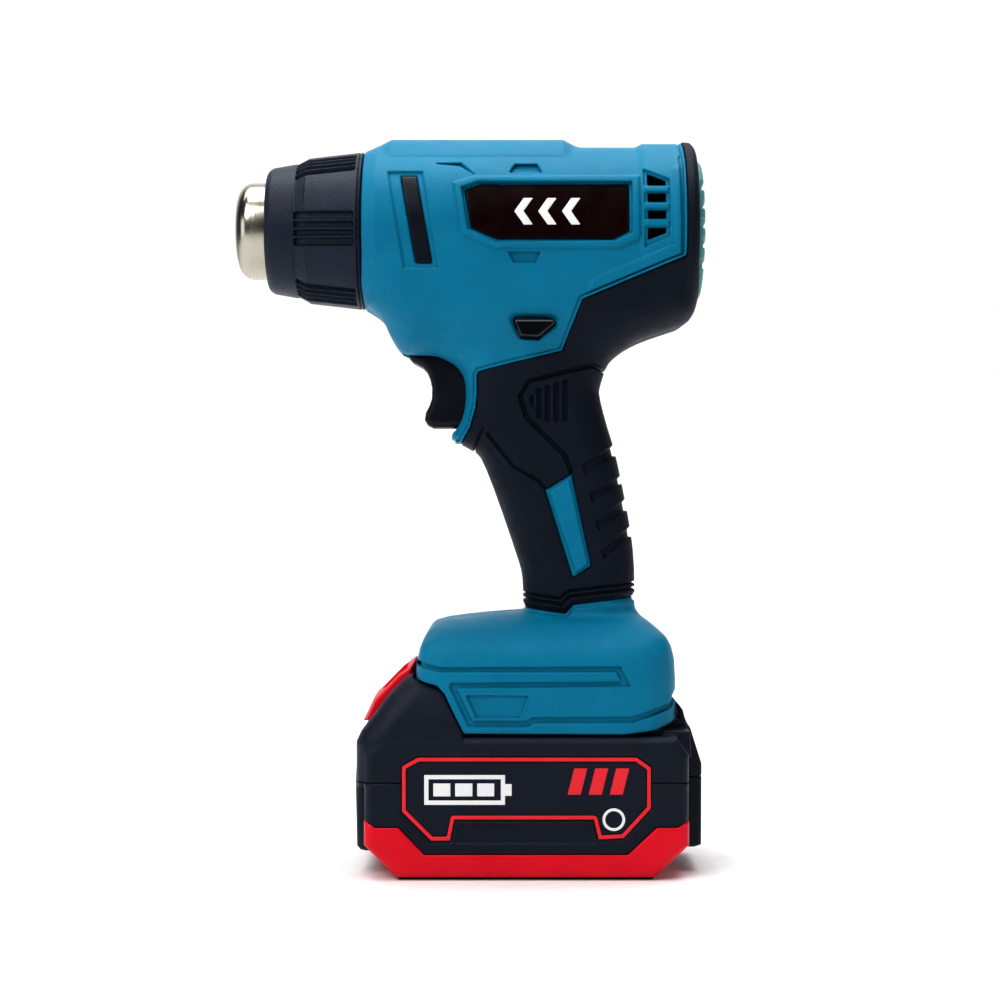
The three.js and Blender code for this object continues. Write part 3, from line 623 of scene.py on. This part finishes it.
def pack_top(x, y, z):
    """The front shoulder, the rails that slide into the foot, and the heel behind them."""
    ay = np.abs(y)
    shoulder = both(both(SHOULDER(x, z), ay - SHOULDER_HALF(z), 8), SHOULDER_END(x, z), 0.4)
    neck = box(x, ay, z, -30, 45, -9, 28.9, 40, 56)
    rails = box(x, ay, z, -30, 45.5, -9, 31.4, 53.8, 63.4)
    corner = np.hypot(np.maximum(x - 28.6, 0), np.maximum(ay - 14.6, 0)) - 16.9
    seat = both(foot(x, y, z), FOOT_UNDER(x, z), 0.7)
    heel = both(REAR_SHOULDER(x, z), ay - np.where(z > 49, 20.1, 29.2), 0.8)
    top = np.minimum(shoulder, np.maximum(heel, 0.35 - seat))
    return np.minimum(top, both(np.minimum(neck, rails), corner, 0.6))


def button_room(x, y, z):
    """Room that the release button sweeps, with its latch and the spring's well."""
    steps = 8
    swept = [BUTTON(x, z + BUTTON_TRAVEL * n / steps) for n in range(steps + 1)]
    reach = np.maximum(np.min(swept, axis=0) - 0.35, np.abs(y) - BUTTON_HALF - 0.4)
    latch = box(x, y, z, -45.4, -31.6, -6, 6, 59.8, 80)
    well = np.maximum(np.hypot(x - SPRING_X, y) - 3.7, 47 - z)
    return any_of(reach, latch, well)


def label_relief(x, z):
    """The recess round the label, and the panel between its legs."""
    h = level(x, z)
    h = put(h, LABEL(x, z) - 1.1, -0.35, 0.5)
    h = put(h, LABEL(x, z) - 0.3, -0.95, 0.3)
    h = put(h, LEG_PANEL(x, z), -0.6, 0.5)
    return h


def pack_room(x, y, z):
    """Inside of the pack's case, with bosses left for its screws."""
    ay = np.abs(y)
    inside = np.minimum(case_body(x, y, z) + 2.3, box(x, ay, z, -28, 42.6, -9, 26.5, 40, 57))
    screws = np.hypot(np.abs(x) - 28.05, ay - 28)
    inside = np.maximum(inside, -np.maximum(screws - 4, z - 4.8))
    blades = all_of(slab(ay, 9.3, 11.7), slab(x, -12, 50), 52 - z)
    heads = np.maximum(screws - 3.1, z - FOOT_SCREW_SEAT)
    shanks = np.maximum(screws - 1.5, z - 6)
    return any_of(inside, blades, heads, shanks)


def pack_field(upper):
    def field(x, y, z):
        ay = np.abs(y)
        front_rib = both(FRONT_RIB(x, z), ay - 25.8, 3)
        rear_rib = both(REAR_RIB(x, z), ay - 18.8, 1.2)
        whole = any_of(case_body(x, y, z), front_rib, rear_rib)
        whole = melt(whole, pack_top(x, y, z), 0.8)
        whole = whole - np.where(ay > 30, label_relief(x, z), 0)
        red = np.maximum(bumper_zone(x, y, z) - 0.15, -(bumper_body(x, y, z) + 1.45))
        whole = cut(whole, any_of(pack_room(x, y, z), button_room(x, y, z), red), 0.25)
        return both(whole, (32.55 - z) if upper else (z - 32.3), 0.25)
    return field


def bumper(x, y, z):
    body = bumper_body(x, y, z)
    return both(np.maximum(body, -(body + 1.3)), bumper_zone(x, y, z), 0.5)


def release_button(x, y, z):
    """The button with its finger scoop, crowned towards its ends, and its latch."""
    ay = np.abs(y)
    crowned = BUTTON(x, z) + 2.4 * (ay / BUTTON_HALF) ** 6
    shape = both(crowned, ay - BUTTON_HALF, 0.5)
    shape = cut(shape, both(SCOOP(x, z), ay - 17.5, 1), 0.3)
    latch = both(box(x, ay, z, -40.6, -32.3, -9, 5.5, 64.3, 66.7), ay - 5.5, 0.4)
    spring_room = np.maximum(np.hypot(x - SPRING_X, y) - 3.3, z - 56.3)
    return np.maximum(np.minimum(shape, latch), -spring_room)


def label_ring(x, y, z):
    return both(slab(LABEL(x, z), -1.25, 0.05), slab(-y, 36.1, 36.8), 0.15)


def label_plate(x, y, z):
    return both(LABEL(x, z) + 1.45, slab(-y, 36.1, 36.55), 0.15)


# ---------- small moving parts ----------
def trigger(x, y, z):
    return both(TRIGGER(x, z), np.abs(y) - 7.5, 2.2)


def lock_button(x, y, z):
    """The cross-bolt, with a slanted facet and a ridge on each end."""
    out = np.abs(y + 2) - 27
    ridge = np.maximum((z - 186.5) * 0.9, (186.5 - z) * 0.06) + out
    return both(both(LOCK(x, z), out, 0.4), ridge, 0.4)


def rear_cap(x, y, z):
    """The domed intake grille with its rows of slots."""
    r = off_axis(y, z)
    dome = x - (62.4 - r * r / 330)
    shape = both(both(r - 24, dome, 1.2), 58.4 - x, 0.3)
    shape = np.maximum(shape, -np.maximum(dome + 1.7, r - 20.8))
    lift, pitch = z - AXIS_Z, 6.6
    rows = np.abs(lift - np.clip(np.round(lift / pitch), -2, 2) * pitch) - 1.6
    slots = np.maximum(rows, 0.9 - np.abs(y))
    return cut(shape, np.maximum(slots, np.minimum(r - 19.2, 59.5 - x)), 0.4)


def heat_shield(x, y, z):
    """The sleeve round the outlet, with six ribbed windows, pads between them and a rear groove."""
    r = off_axis(y, z)
    outer = SHIELD_R(x)
    shape = both(r - outer, slab(x, -89.3, -55.85), 1.0)
    sixth = math.pi / 3
    turn = np.arctan2(z - AXIS_Z, -y) + math.radians(4.8)
    turn = turn - np.round(turn / sixth) * sixth
    across = outer * turn
    window = both(np.abs(across) - 5.8, slab(x, -78.6, -58.3), 0.8)
    pitch = 2.85
    rib = np.abs(across - pitch * np.clip(np.round(across / pitch), -1, 1))
    depth = 1.6 - 1.5 * np.clip(1.2 - rib / 0.75, 0, 1)
    pad = np.maximum(np.abs(np.abs(turn) - sixth / 2) - 0.19, slab(x, -79.2, -75.4))
    groove = slab(x, -57.3, -56.9)
    shape = shape + depth * ramp(window) + 0.35 * ramp(pad) + 0.6 * ramp(groove, 0.35)
    return np.maximum(shape, SHIELD_BORE(x) - r)


def motor_mount(x, y, z):
    """The motor's ring and three arms, with the shroud that stands behind the side vents."""
    lift, r = z - AXIS_Z, off_axis(y, z)
    ring = both(slab(r, 14.1, 16.3), slab(x, 20, 34), 0.3)
    shroud = both(slab(r, 18.4, 19.7), slab(x, 21, 51), 0.3)
    arms = []
    for turn in (0, 2 * math.pi / 3, 4 * math.pi / 3):
        along = -y * math.sin(turn) + lift * math.cos(turn)
        across = y * math.cos(turn) + lift * math.sin(turn)
        arms.append(both(slab(along, 15, 25.2), np.abs(across) - 1.5, 0.3))
    arms = both(np.min(arms, axis=0), slab(x, 21, 31), 0.3)
    return any_of(ring, shroud, arms)


def switch_body(x, y, z):
    """The trigger switch, with a pocket that takes the trigger's spring when it is pulled."""
    case = both(both(slab(x, -4, 17), slab(y, -8.5, 8.5), 0.8), slab(z, 152, 173), 0.8)
    pocket = np.maximum(np.hypot(y, z - 163) - 4.5, x - 3)
    split = np.maximum(slab(z, 164.8, 165.2), 8.2 - np.abs(y))
    return np.maximum(cut(case, pocket, 0.3), -split)


def screw(length):
    """A self-tapping screw along y with a six-lobed drive; y = 0 is under its head."""
    def field(x, y, z):
        r, turn = np.hypot(x, z), np.arctan2(z, x)
        head = both(r - 2.75, slab(y, 0, 2.1), 0.5)
        lobes = r - 1.25 - 0.25 * np.cos(6 * turn)
        head = np.maximum(head, -np.maximum(lobes, 0.7 - y))
        ridge = np.abs(((y / 1.1 + turn / (2 * math.pi)) % 1) - 0.5)
        shank = np.maximum(r - 1.0 - 0.5 * np.clip(0.6 - ridge * 2, 0, 1), slab(y, -length, 0.2))
        return np.minimum(head, np.maximum(shank, r - 1.3))
    return field


def mark(outline, base, top):
    """A printed mark on the barrel's name plate."""
    def field(x, y, z):
        plain = pistol(x, y, z)
        return all_of(plain - top, base - plain, outline(x, z), y + 5)
    return field


def chevrons(x, z):
    """Three plain arrowheads that point to the outlet."""
    lift = np.abs(z - 223.6)
    slant = x - lift * 0.7
    bars = [slab(slant, start, start + 3.2) for start in (-4, 4, 12)]
    return np.maximum(np.min(bars, axis=0), lift - 4.6)


def gauge(x, z):
    """A plain battery sign: a frame, its terminal and three bars."""
    def block(x0, x1, z0, z1):
        return np.maximum(slab(x, x0, x1), slab(z, z0, z1))
    frame_line = np.maximum(block(-34, -7, 25.2, 35.2), -block(-32.5, -8.5, 26.7, 33.7))
    bars = [block(-31 + 7.3 * n, -25.2 + 7.3 * n, 28, 32.4) for n in range(3)]
    ring = np.abs(np.hypot(x - 29.1, z - 20.3) - 3.3) - 0.5
    return np.min([frame_line, block(-7, -4.8, 28.2, 32.2), ring] + bars, axis=0)


def stripes(x, z):
    """Three plain slanted stripes."""
    lift = z - 33
    slant = x - lift * 0.25
    bars = [slab(slant, start, start + 4.4) for start in (14.8, 21.8, 28.8)]
    return np.maximum(np.min(bars, axis=0), np.abs(lift) - 4.4)


def flat_mark(outline):
    """A printed mark on the pack's label."""
    def field(x, y, z):
        return np.maximum(outline(x, z), slab(-y, 36.2, 36.68))
    return field


# ---------- turned parts ----------
def lathe(name, profile, finish, body):
    """Turns a closed profile of (x, radius) about the barrel's axis."""
    sides = 144
    angles = np.linspace(0, 2 * math.pi, sides, endpoint=False)
    x, r = np.array(profile, float).T
    across, up = r[:, None] * np.sin(angles), AXIS_Z + r[:, None] * np.cos(angles)
    rings = np.stack([np.repeat(x[:, None], sides, 1), across, up], 2)
    n = len(x)
    i, j = np.meshgrid(np.arange(n), np.arange(sides), indexing="ij")
    i2, j2 = (i + 1) % n, (j + 1) % sides
    faces = np.stack([i * sides + j, i * sides + j2, i2 * sides + j2, i2 * sides + j], 2)
    return piece(name, rings.reshape(-1, 3), faces.reshape(-1, 4), finish, body)


def nozzle_profile():
    """Section of the outlet tube: a rounded lip in front and a flange inside the barrel."""
    inner = TUBE_RADIUS - TUBE_WALL

    def lip(skin):
        centre_x, centre_r = TUBE_TIP + LIP_LENGTH, TUBE_RADIUS - LIP_HEIGHT
        long, tall = LIP_LENGTH - skin, LIP_HEIGHT - skin
        turns = np.linspace(0, math.pi / 2, 14)
        return [(centre_x - long * math.cos(t), centre_r + tall * math.sin(t)) for t in turns]

    outside = lip(0) + [(x, TUBE_RADIUS) for x in (-91, -88, -80, -70, -60, -47.4)]
    flange = [(-47, TUBE_RADIUS + 0.4), (-47, 24.8), (TUBE_BACK, 24.8), (TUBE_BACK, inner + 0.2)]
    inside = [(x, inner) for x in (TUBE_BACK, -60, -80, -91)] + lip(TUBE_WALL)[::-1]
    rim = [(TUBE_TIP + 0.35, TUBE_RADIUS - LIP_HEIGHT - 0.35)]
    return outside + flange + inside + rim


# ---------- finishes ----------
def shaded(colour, factor, lift=0.0):
    return tuple(min(1, c * factor + lift) for c in colour)


def node_finish(name, colour, dark, rough, grain, grain_size=2600, metal=0.0, edge_highlight_colour=None,
                coat=0.0, stretch=None, sheen=0.25):
    """A procedural finish: mottled colour, fine grain, uneven gloss, painted shade in creases and painted
    highlights on convex edges.
    """
    material = bpy.data.materials.new(name)
    material.use_nodes = True
    nodes, links = material.node_tree.nodes, material.node_tree.links
    shader = nodes["Principled BSDF"]
    shader.inputs["Metallic"].default_value = metal
    shader.inputs["Specular IOR Level"].default_value = 0.5 if metal else sheen
    shader.inputs["Coat Weight"].default_value = coat
    shader.inputs["Coat Roughness"].default_value = 0.12
    place = nodes.new("ShaderNodeTexCoord")
    source = place.outputs["Object"]
    if stretch:
        mapping = nodes.new("ShaderNodeMapping")
        mapping.inputs["Scale"].default_value = stretch
        links.new(source, mapping.inputs["Vector"])
        source = mapping.outputs["Vector"]

    def noise(scale, detail):
        made = nodes.new("ShaderNodeTexNoise")
        made.inputs["Scale"].default_value = scale
        made.inputs["Detail"].default_value = detail
        links.new(source, made.inputs["Vector"])
        return made.outputs["Fac"]

    def span(value, low, high, out_low, out_high):
        made = nodes.new("ShaderNodeMapRange")
        links.new(value, made.inputs["Value"])
        limits = {"From Min": low, "From Max": high, "To Min": out_low, "To Max": out_high}
        for socket, number in limits.items():
            made.inputs[socket].default_value = number
        return made.outputs["Result"]

    def mix(factor, first, second):
        made = nodes.new("ShaderNodeMix")
        made.data_type = "RGBA"
        links.new(factor, made.inputs["Factor"])
        for socket, value in (("A", first), ("B", second)):
            target = next(s for s in made.inputs if s.name == socket and s.type == "RGBA")
            if isinstance(value, tuple):
                target.default_value = (*value, 1)
            else:
                links.new(value, target)
        return next(s for s in made.outputs if s.type == "RGBA")

    clouds = span(noise(55, 4), 0.35, 0.65, 0, 1)
    flecks = span(noise(grain_size * 0.6, 2), 0.3, 0.7, 0.0, 0.35)
    pointiness = nodes.new("ShaderNodeNewGeometry").outputs["Pointiness"]
    # Painted shade: concave creases (low pointiness) are darkened towards a quarter of the colour.
    painted_crease_shade = span(pointiness, 0.485, 0.42, 0, 0.75)
    # Painted highlight: convex edges (high pointiness) are lightened to the edge colour, by default a
    # brighter copy of the colour.
    painted_edge_highlight = span(pointiness, 0.55, 0.64, 0, 0.6)
    tone = mix(clouds, dark, colour)
    tone = mix(flecks, tone, shaded(colour, 0.82))
    tone = mix(painted_crease_shade, tone, shaded(colour, 0.25))
    tone = mix(painted_edge_highlight, tone, edge_highlight_colour or shaded(colour, 1.5, 0.02))
    links.new(tone, shader.inputs["Base Color"])
    links.new(span(noise(130, 5), 0.3, 0.7, rough - 0.06, rough + 0.08), shader.inputs["Roughness"])
    bump = nodes.new("ShaderNodeBump")
    bump.inputs["Strength"].default_value = grain
    bump.inputs["Distance"].default_value = 0.0003
    links.new(noise(grain_size, 3), bump.inputs["Height"])
    links.new(bump.outputs["Normal"], shader.inputs["Normal"])
    return material


# The paler edge colour given to each finish below is its painted edge highlight.
BLUE = node_finish("blue_shell", (0.0002, 0.188, 0.318), (0.0002, 0.168, 0.288), 0.38, 0.7,
                   edge_highlight_colour=(0.003, 0.255, 0.4), sheen=0.11)
RUBBER = node_finish("soft_grip", (0.0022, 0.007, 0.0175), (0.0015, 0.0048, 0.0135), 0.5, 0.9,
                     edge_highlight_colour=(0.014, 0.025, 0.04), sheen=0.14)
SHIELD = node_finish("shield_nylon", (0.006, 0.0145, 0.034), (0.0036, 0.009, 0.023), 0.4, 0.9, 1900,
                     edge_highlight_colour=(0.03, 0.045, 0.07), sheen=0.22)
BLACK = node_finish("black_plastic_look", (0.003, 0.0055, 0.0125), (0.002, 0.004, 0.009), 0.38, 0.15,
                    sheen=0.2)
GLOSS = node_finish("gloss_black_look", (0.002, 0.003, 0.006), (0.0015, 0.002, 0.005), 0.14, 0.02,
                    coat=0.5)
PLATE = node_finish("badge_plate_look", (0.008, 0.0008, 0.001), (0.0065, 0.0006, 0.0008), 0.3, 0.03,
                    edge_highlight_colour=(0.012, 0.002, 0.002), sheen=0.1)
PACK = node_finish("pack_case_look", (0.0035, 0.0085, 0.021), (0.0025, 0.0065, 0.0165), 0.38, 0.7,
                   edge_highlight_colour=(0.025, 0.036, 0.055), sheen=0.2)
RED = node_finish("red_plastic", (0.72, 0.0012, 0.02), (0.64, 0.0008, 0.017), 0.34, 0.4,
                  edge_highlight_colour=(0.72, 0.03, 0.05), sheen=0.2)
RED_LINE = node_finish("red_line", (0.75, 0.03, 0.045), (0.68, 0.025, 0.04), 0.4, 0.06, sheen=0.2)
WHITE = node_finish("white_mark", (0.82, 0.82, 0.82), (0.76, 0.76, 0.77), 0.4, 0.04)
CAP = node_finish("pale_teal", (0.10, 0.33, 0.33), (0.08, 0.28, 0.29), 0.45, 0.1)
NICKEL = node_finish("warm_nickel", (0.5, 0.475, 0.41), (0.38, 0.36, 0.3), 0.24, 0.1, 900, metal=1.0,
                     stretch=(1, 0.4, 0.4))
STEEL = node_finish("zinc_steel", (0.5, 0.5, 0.5), (0.42, 0.42, 0.43), 0.3, 0.06, 1500, metal=1.0)
BRASS = node_finish("brass_look", (0.6, 0.42, 0.16), (0.52, 0.35, 0.12), 0.3, 0.06, 1500, metal=1.0)
WINDING = node_finish("winding_wire", (0.3, 0.26, 0.22), (0.22, 0.18, 0.15), 0.42, 0.1, 1500, metal=1.0)
MICA = node_finish("mica_look", (0.42, 0.34, 0.22), (0.34, 0.26, 0.16), 0.5, 0.2, 700)
BOARD = node_finish("board_green", (0.01, 0.09, 0.035), (0.008, 0.07, 0.028), 0.4, 0.06)
WRAP = node_finish("cell_wrap_look", (0.03, 0.16, 0.36), (0.025, 0.13, 0.3), 0.32, 0.04)

NODE_FINISHES = {  # the start of a CAD node's name, and its finish; the first that fits counts
    "mica": MICA, "heater_core": MICA, "heater_winding": WINDING, "thermal": BRASS,
    "air_guide": BLACK, "motor": STEEL, "fan": BLACK,
    "control_board": BOARD, "terminal_block": BLACK, "contact": BRASS,
    "cell_holder": BLACK, "cell_": WRAP, "pack_board": BOARD, "pack_socket": BRASS,
    "trigger_spring": STEEL, "button_spring": STEEL,
}
for node_name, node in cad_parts.items():
    for start, look in NODE_FINISHES.items():
        if node_name.startswith(start):
            node.data.materials.clear()
            node.data.materials.append(look)
            break


# ---------- building ----------
def build(name, field, low, high, step, finish, body, slot, *nodes):
    """Sculpts a piece and shows it in place of CAD nodes."""
    points, quads = sculpt(field, low, high, step)
    show(piece(name, points, quads, finish, body), slot, *nodes)


def pair(name, field, low, high, step, finish, body, slot, node=None):
    """A piece on the left and its mirror image on the right."""
    points, quads = sculpt(field, low, high, step)
    for side in ("left", "right"):
        obj = piece(f"{name}_{side}", points, quads, finish, body, side == "right")
        show(obj, slot, *([f"{node}_{side}"] if node else []))


def other_side(low, high):
    """The mirror image of a box."""
    return (low[0], -high[1], low[2]), (high[0], -low[1], high[2])


def shell_halves():
    """Both housing shells with their soft grips."""
    shell_box = (-56, -37.5, 46), (60.5, 0, 253)
    grip_box = (-27, -37.5, 88), (60.5, 0, 253)
    for side in ("left", "right"):
        right = side == "right"
        if right:
            shell_box, grip_box = other_side(*shell_box), other_side(*grip_box)
        build(f"shell_{side}", shell_field(right), *shell_box, SHELL_STEP, BLUE, "housing", "housing",
              f"housing_{side}")
        build(f"grip_{side}", grip_field(right), *grip_box, SHELL_STEP, RUBBER, "housing", "grip",
              f"grip_skin_{side}")


def shell_screws():
    for n, (x, z, seat) in enumerate(SCREWS, 1):
        points, quads = sculpt(screw(seat + 6), (-3, -seat - 6, -3), (3, 2.2, 3), SCREW_STEP)
        place = np.array((x, seat + 0.3, z))
        obj = piece(f"shell_screw_{n}", points + place, quads, STEEL, "housing")
        show(obj, "steel", f"housing_screw_{n}")


def case_screws():
    """The pack's four screws, head down, each where its CAD node stands."""
    points, quads = sculpt(screw(6.4), (-3, -6.5, -3), (3, 2.2, 3), SCREW_STEP)
    turned = np.stack([points[:, 0], points[:, 2], -points[:, 1]], 1)
    for n in range(1, 5):
        low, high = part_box(f"pack_screw_{n}")
        centre = (low + high) / 2 / MM
        place = np.array((centre.x, centre.y, FOOT_SCREW_SEAT))
        obj = piece(f"case_screw_{n}", turned + place, quads, STEEL, "battery")
        show(obj, "steel", f"pack_screw_{n}")


shell_halves()
pair("badge", side_plate(BADGE, -1.6, -0.35, 0.3), (-22, -33, 212), (36, -20, 235), PART_STEP, PLATE,
     "housing", "plate", "name_plate")
pair("strip", side_plate(INLAY, -1.8, -0.1, 0.4), (-44, -33, 204), (-30, -20, 238), 0.3, BLACK,
     "housing", "black_plastic", "side_inlay")
pair("arrowheads", mark(chevrons, -0.9, -0.24), (-5, -33, 218), (22, -20, 229), 0.25, WHITE,
     "housing", "plate")
build("motor_carrier", motor_mount, (20, -26, 194), (51, 26, 247), 0.5, BLACK,
      "housing", "black_plastic", "motor_mount")
build("switch_case", switch_body, (-4, -8.5, 152), (17, 8.5, 173), SHELL_STEP, BLACK,
      "housing", "black_plastic", "trigger_switch")
build("shield", heat_shield, (-91, -28.5, 192), (-55, 28.5, 249), 0.24, SHIELD,
      "shield", "shield", "heat_shield")
show(lathe("outlet", nozzle_profile(), NICKEL, "housing"), "tube_steel", "nozzle")
build("intake_grille", rear_cap, (58, -25, 195), (63, 25, 246), 0.4, CAP, "housing", "cap", "rear_cap")
build("finger_trigger", trigger, (-41.5, -8, 151), (-16.5, 8, 178.5), PART_STEP, BLACK,
      "trigger", "black_plastic", "trigger")
build("lock", lock_button, (-5, -30, 181), (11, 26, 189), 0.3, GLOSS,
      "lock", "gloss_black", "lock_button")
build("pack_upper", pack_field(True), (-58, -37.4, 32), (60.5, 37.4, 72.2), SHELL_STEP, PACK,
      "battery", "pack_case", "pack_case_upper")
build("pack_lower", pack_field(False), (-58, -37.4, 0), (60.5, 37.4, 33), SHELL_STEP, PACK,
      "battery", "pack_case", "pack_case_lower")
build("bumper", bumper, (-55, -37.5, 0), (55, 37.5, 20.5), SHELL_STEP, RED,
      "battery", "red", "pack_bumper")
build("button", release_button, (-56, -19.5, 50), (-32, 19.5, 72), PART_STEP, RED,
      "release", "red", "release_button")
shell_screws()
case_screws()
pair("gauge", flat_mark(gauge), (-36, -37, 16), (34, -36, 38), 0.2, WHITE, "battery", "plate")
pair("stripes", flat_mark(stripes), (13, -37, 28), (36, -36, 38), 0.2, RED_LINE, "battery", "red")
pair("label_line", label_ring, (-42, -37, 13), (42, -36, 42), 0.25, RED_LINE, "battery", "red")
pair("label", label_plate, (-42, -37, 13), (42, -36, 42), 0.3, PACK, "battery", "plate", "pack_label")


# ---------- studio ----------
def studio():
    """A pale floor that curves up into a backdrop."""
    floor = bpy.data.meshes.new("floor")
    reach, back, bend, top = 3.0, 1.6, 0.5, 3.0
    turns = np.linspace(0.1, math.pi / 2, 10)
    curve = [(back - bend + bend * math.sin(t), bend - bend * math.cos(t)) for t in turns]
    profile = [(-reach, 0.0), (back - bend, 0.0), *curve, (back, top)]
    verts = [(x, y, z) for y, z in profile for x in (-reach, reach)]
    faces = [(2 * i, 2 * i + 1, 2 * i + 3, 2 * i + 2) for i in range(len(profile) - 1)]
    floor.from_pydata(verts, [], faces)
    floor.polygons.foreach_set("use_smooth", [True] * len(faces))
    white, shade = (0.86, 0.86, 0.86), (0.84, 0.84, 0.84)
    floor.materials.append(node_finish("studio_paper", white, shade, 0.8, 0.02, 300, edge_highlight_colour=white))
    obj = bpy.data.objects.new("floor", floor)
    bpy.context.scene.collection.objects.link(obj)


def softbox(name, place, aim, size, power):
    light = bpy.data.lights.new(name, "AREA")
    light.shape = "RECTANGLE"
    light.size, light.size_y = size
    light.energy = power
    obj = bpy.data.objects.new(name, light)
    obj.location = place
    obj.rotation_euler = (Vector(aim) - Vector(place)).to_track_quat("-Z", "Y").to_euler()
    bpy.context.scene.collection.objects.link(obj)


def lights():
    middle = (0, 0, 0.13)
    softbox("key", (-0.55, -0.75, 0.95), middle, (0.6, 0.6), 10.4)
    softbox("fill", (0.9, -0.75, 0.5), middle, (0.6, 0.6), 2.5)
    softbox("side", (-0.95, -0.4, 0.3), (-0.09, 0, 0.22), (0.5, 0.5), 1.6)
    softbox("top", (0.0, 0.0, 1.15), middle, (0.9, 0.7), 12)
    softbox("back", (0.0, 0.6, 1.6), (0, 1.5, 0.2), (2.2, 1.2), 28)


def surroundings():
    """Faint white light from all round, and the tone curve."""
    world = bpy.data.worlds.new("world")
    world.use_nodes = True
    background = world.node_tree.nodes["Background"]
    background.inputs["Color"].default_value = (1, 1, 1, 1)
    background.inputs["Strength"].default_value = 0.05
    scene = bpy.context.scene
    scene.world = world
    scene.view_settings.view_transform = "Standard"
    scene.view_settings.gamma = 0.84


def camera():
    """Looks along +Y from the photo's distance, with the photo's field of view."""
    distance, view_width, sensor = 0.730, 0.350, 36
    lens = bpy.data.cameras.new("camera")
    lens.sensor_width = sensor
    lens.lens = sensor * distance / view_width
    obj = bpy.data.objects.new("camera", lens)
    obj.location = (-0.00875, -distance, 0.1266)
    obj.rotation_euler = (math.pi / 2, 0, 0)
    bpy.context.scene.collection.objects.link(obj)
    bpy.context.scene.camera = obj


studio()
lights()
surroundings()
camera()
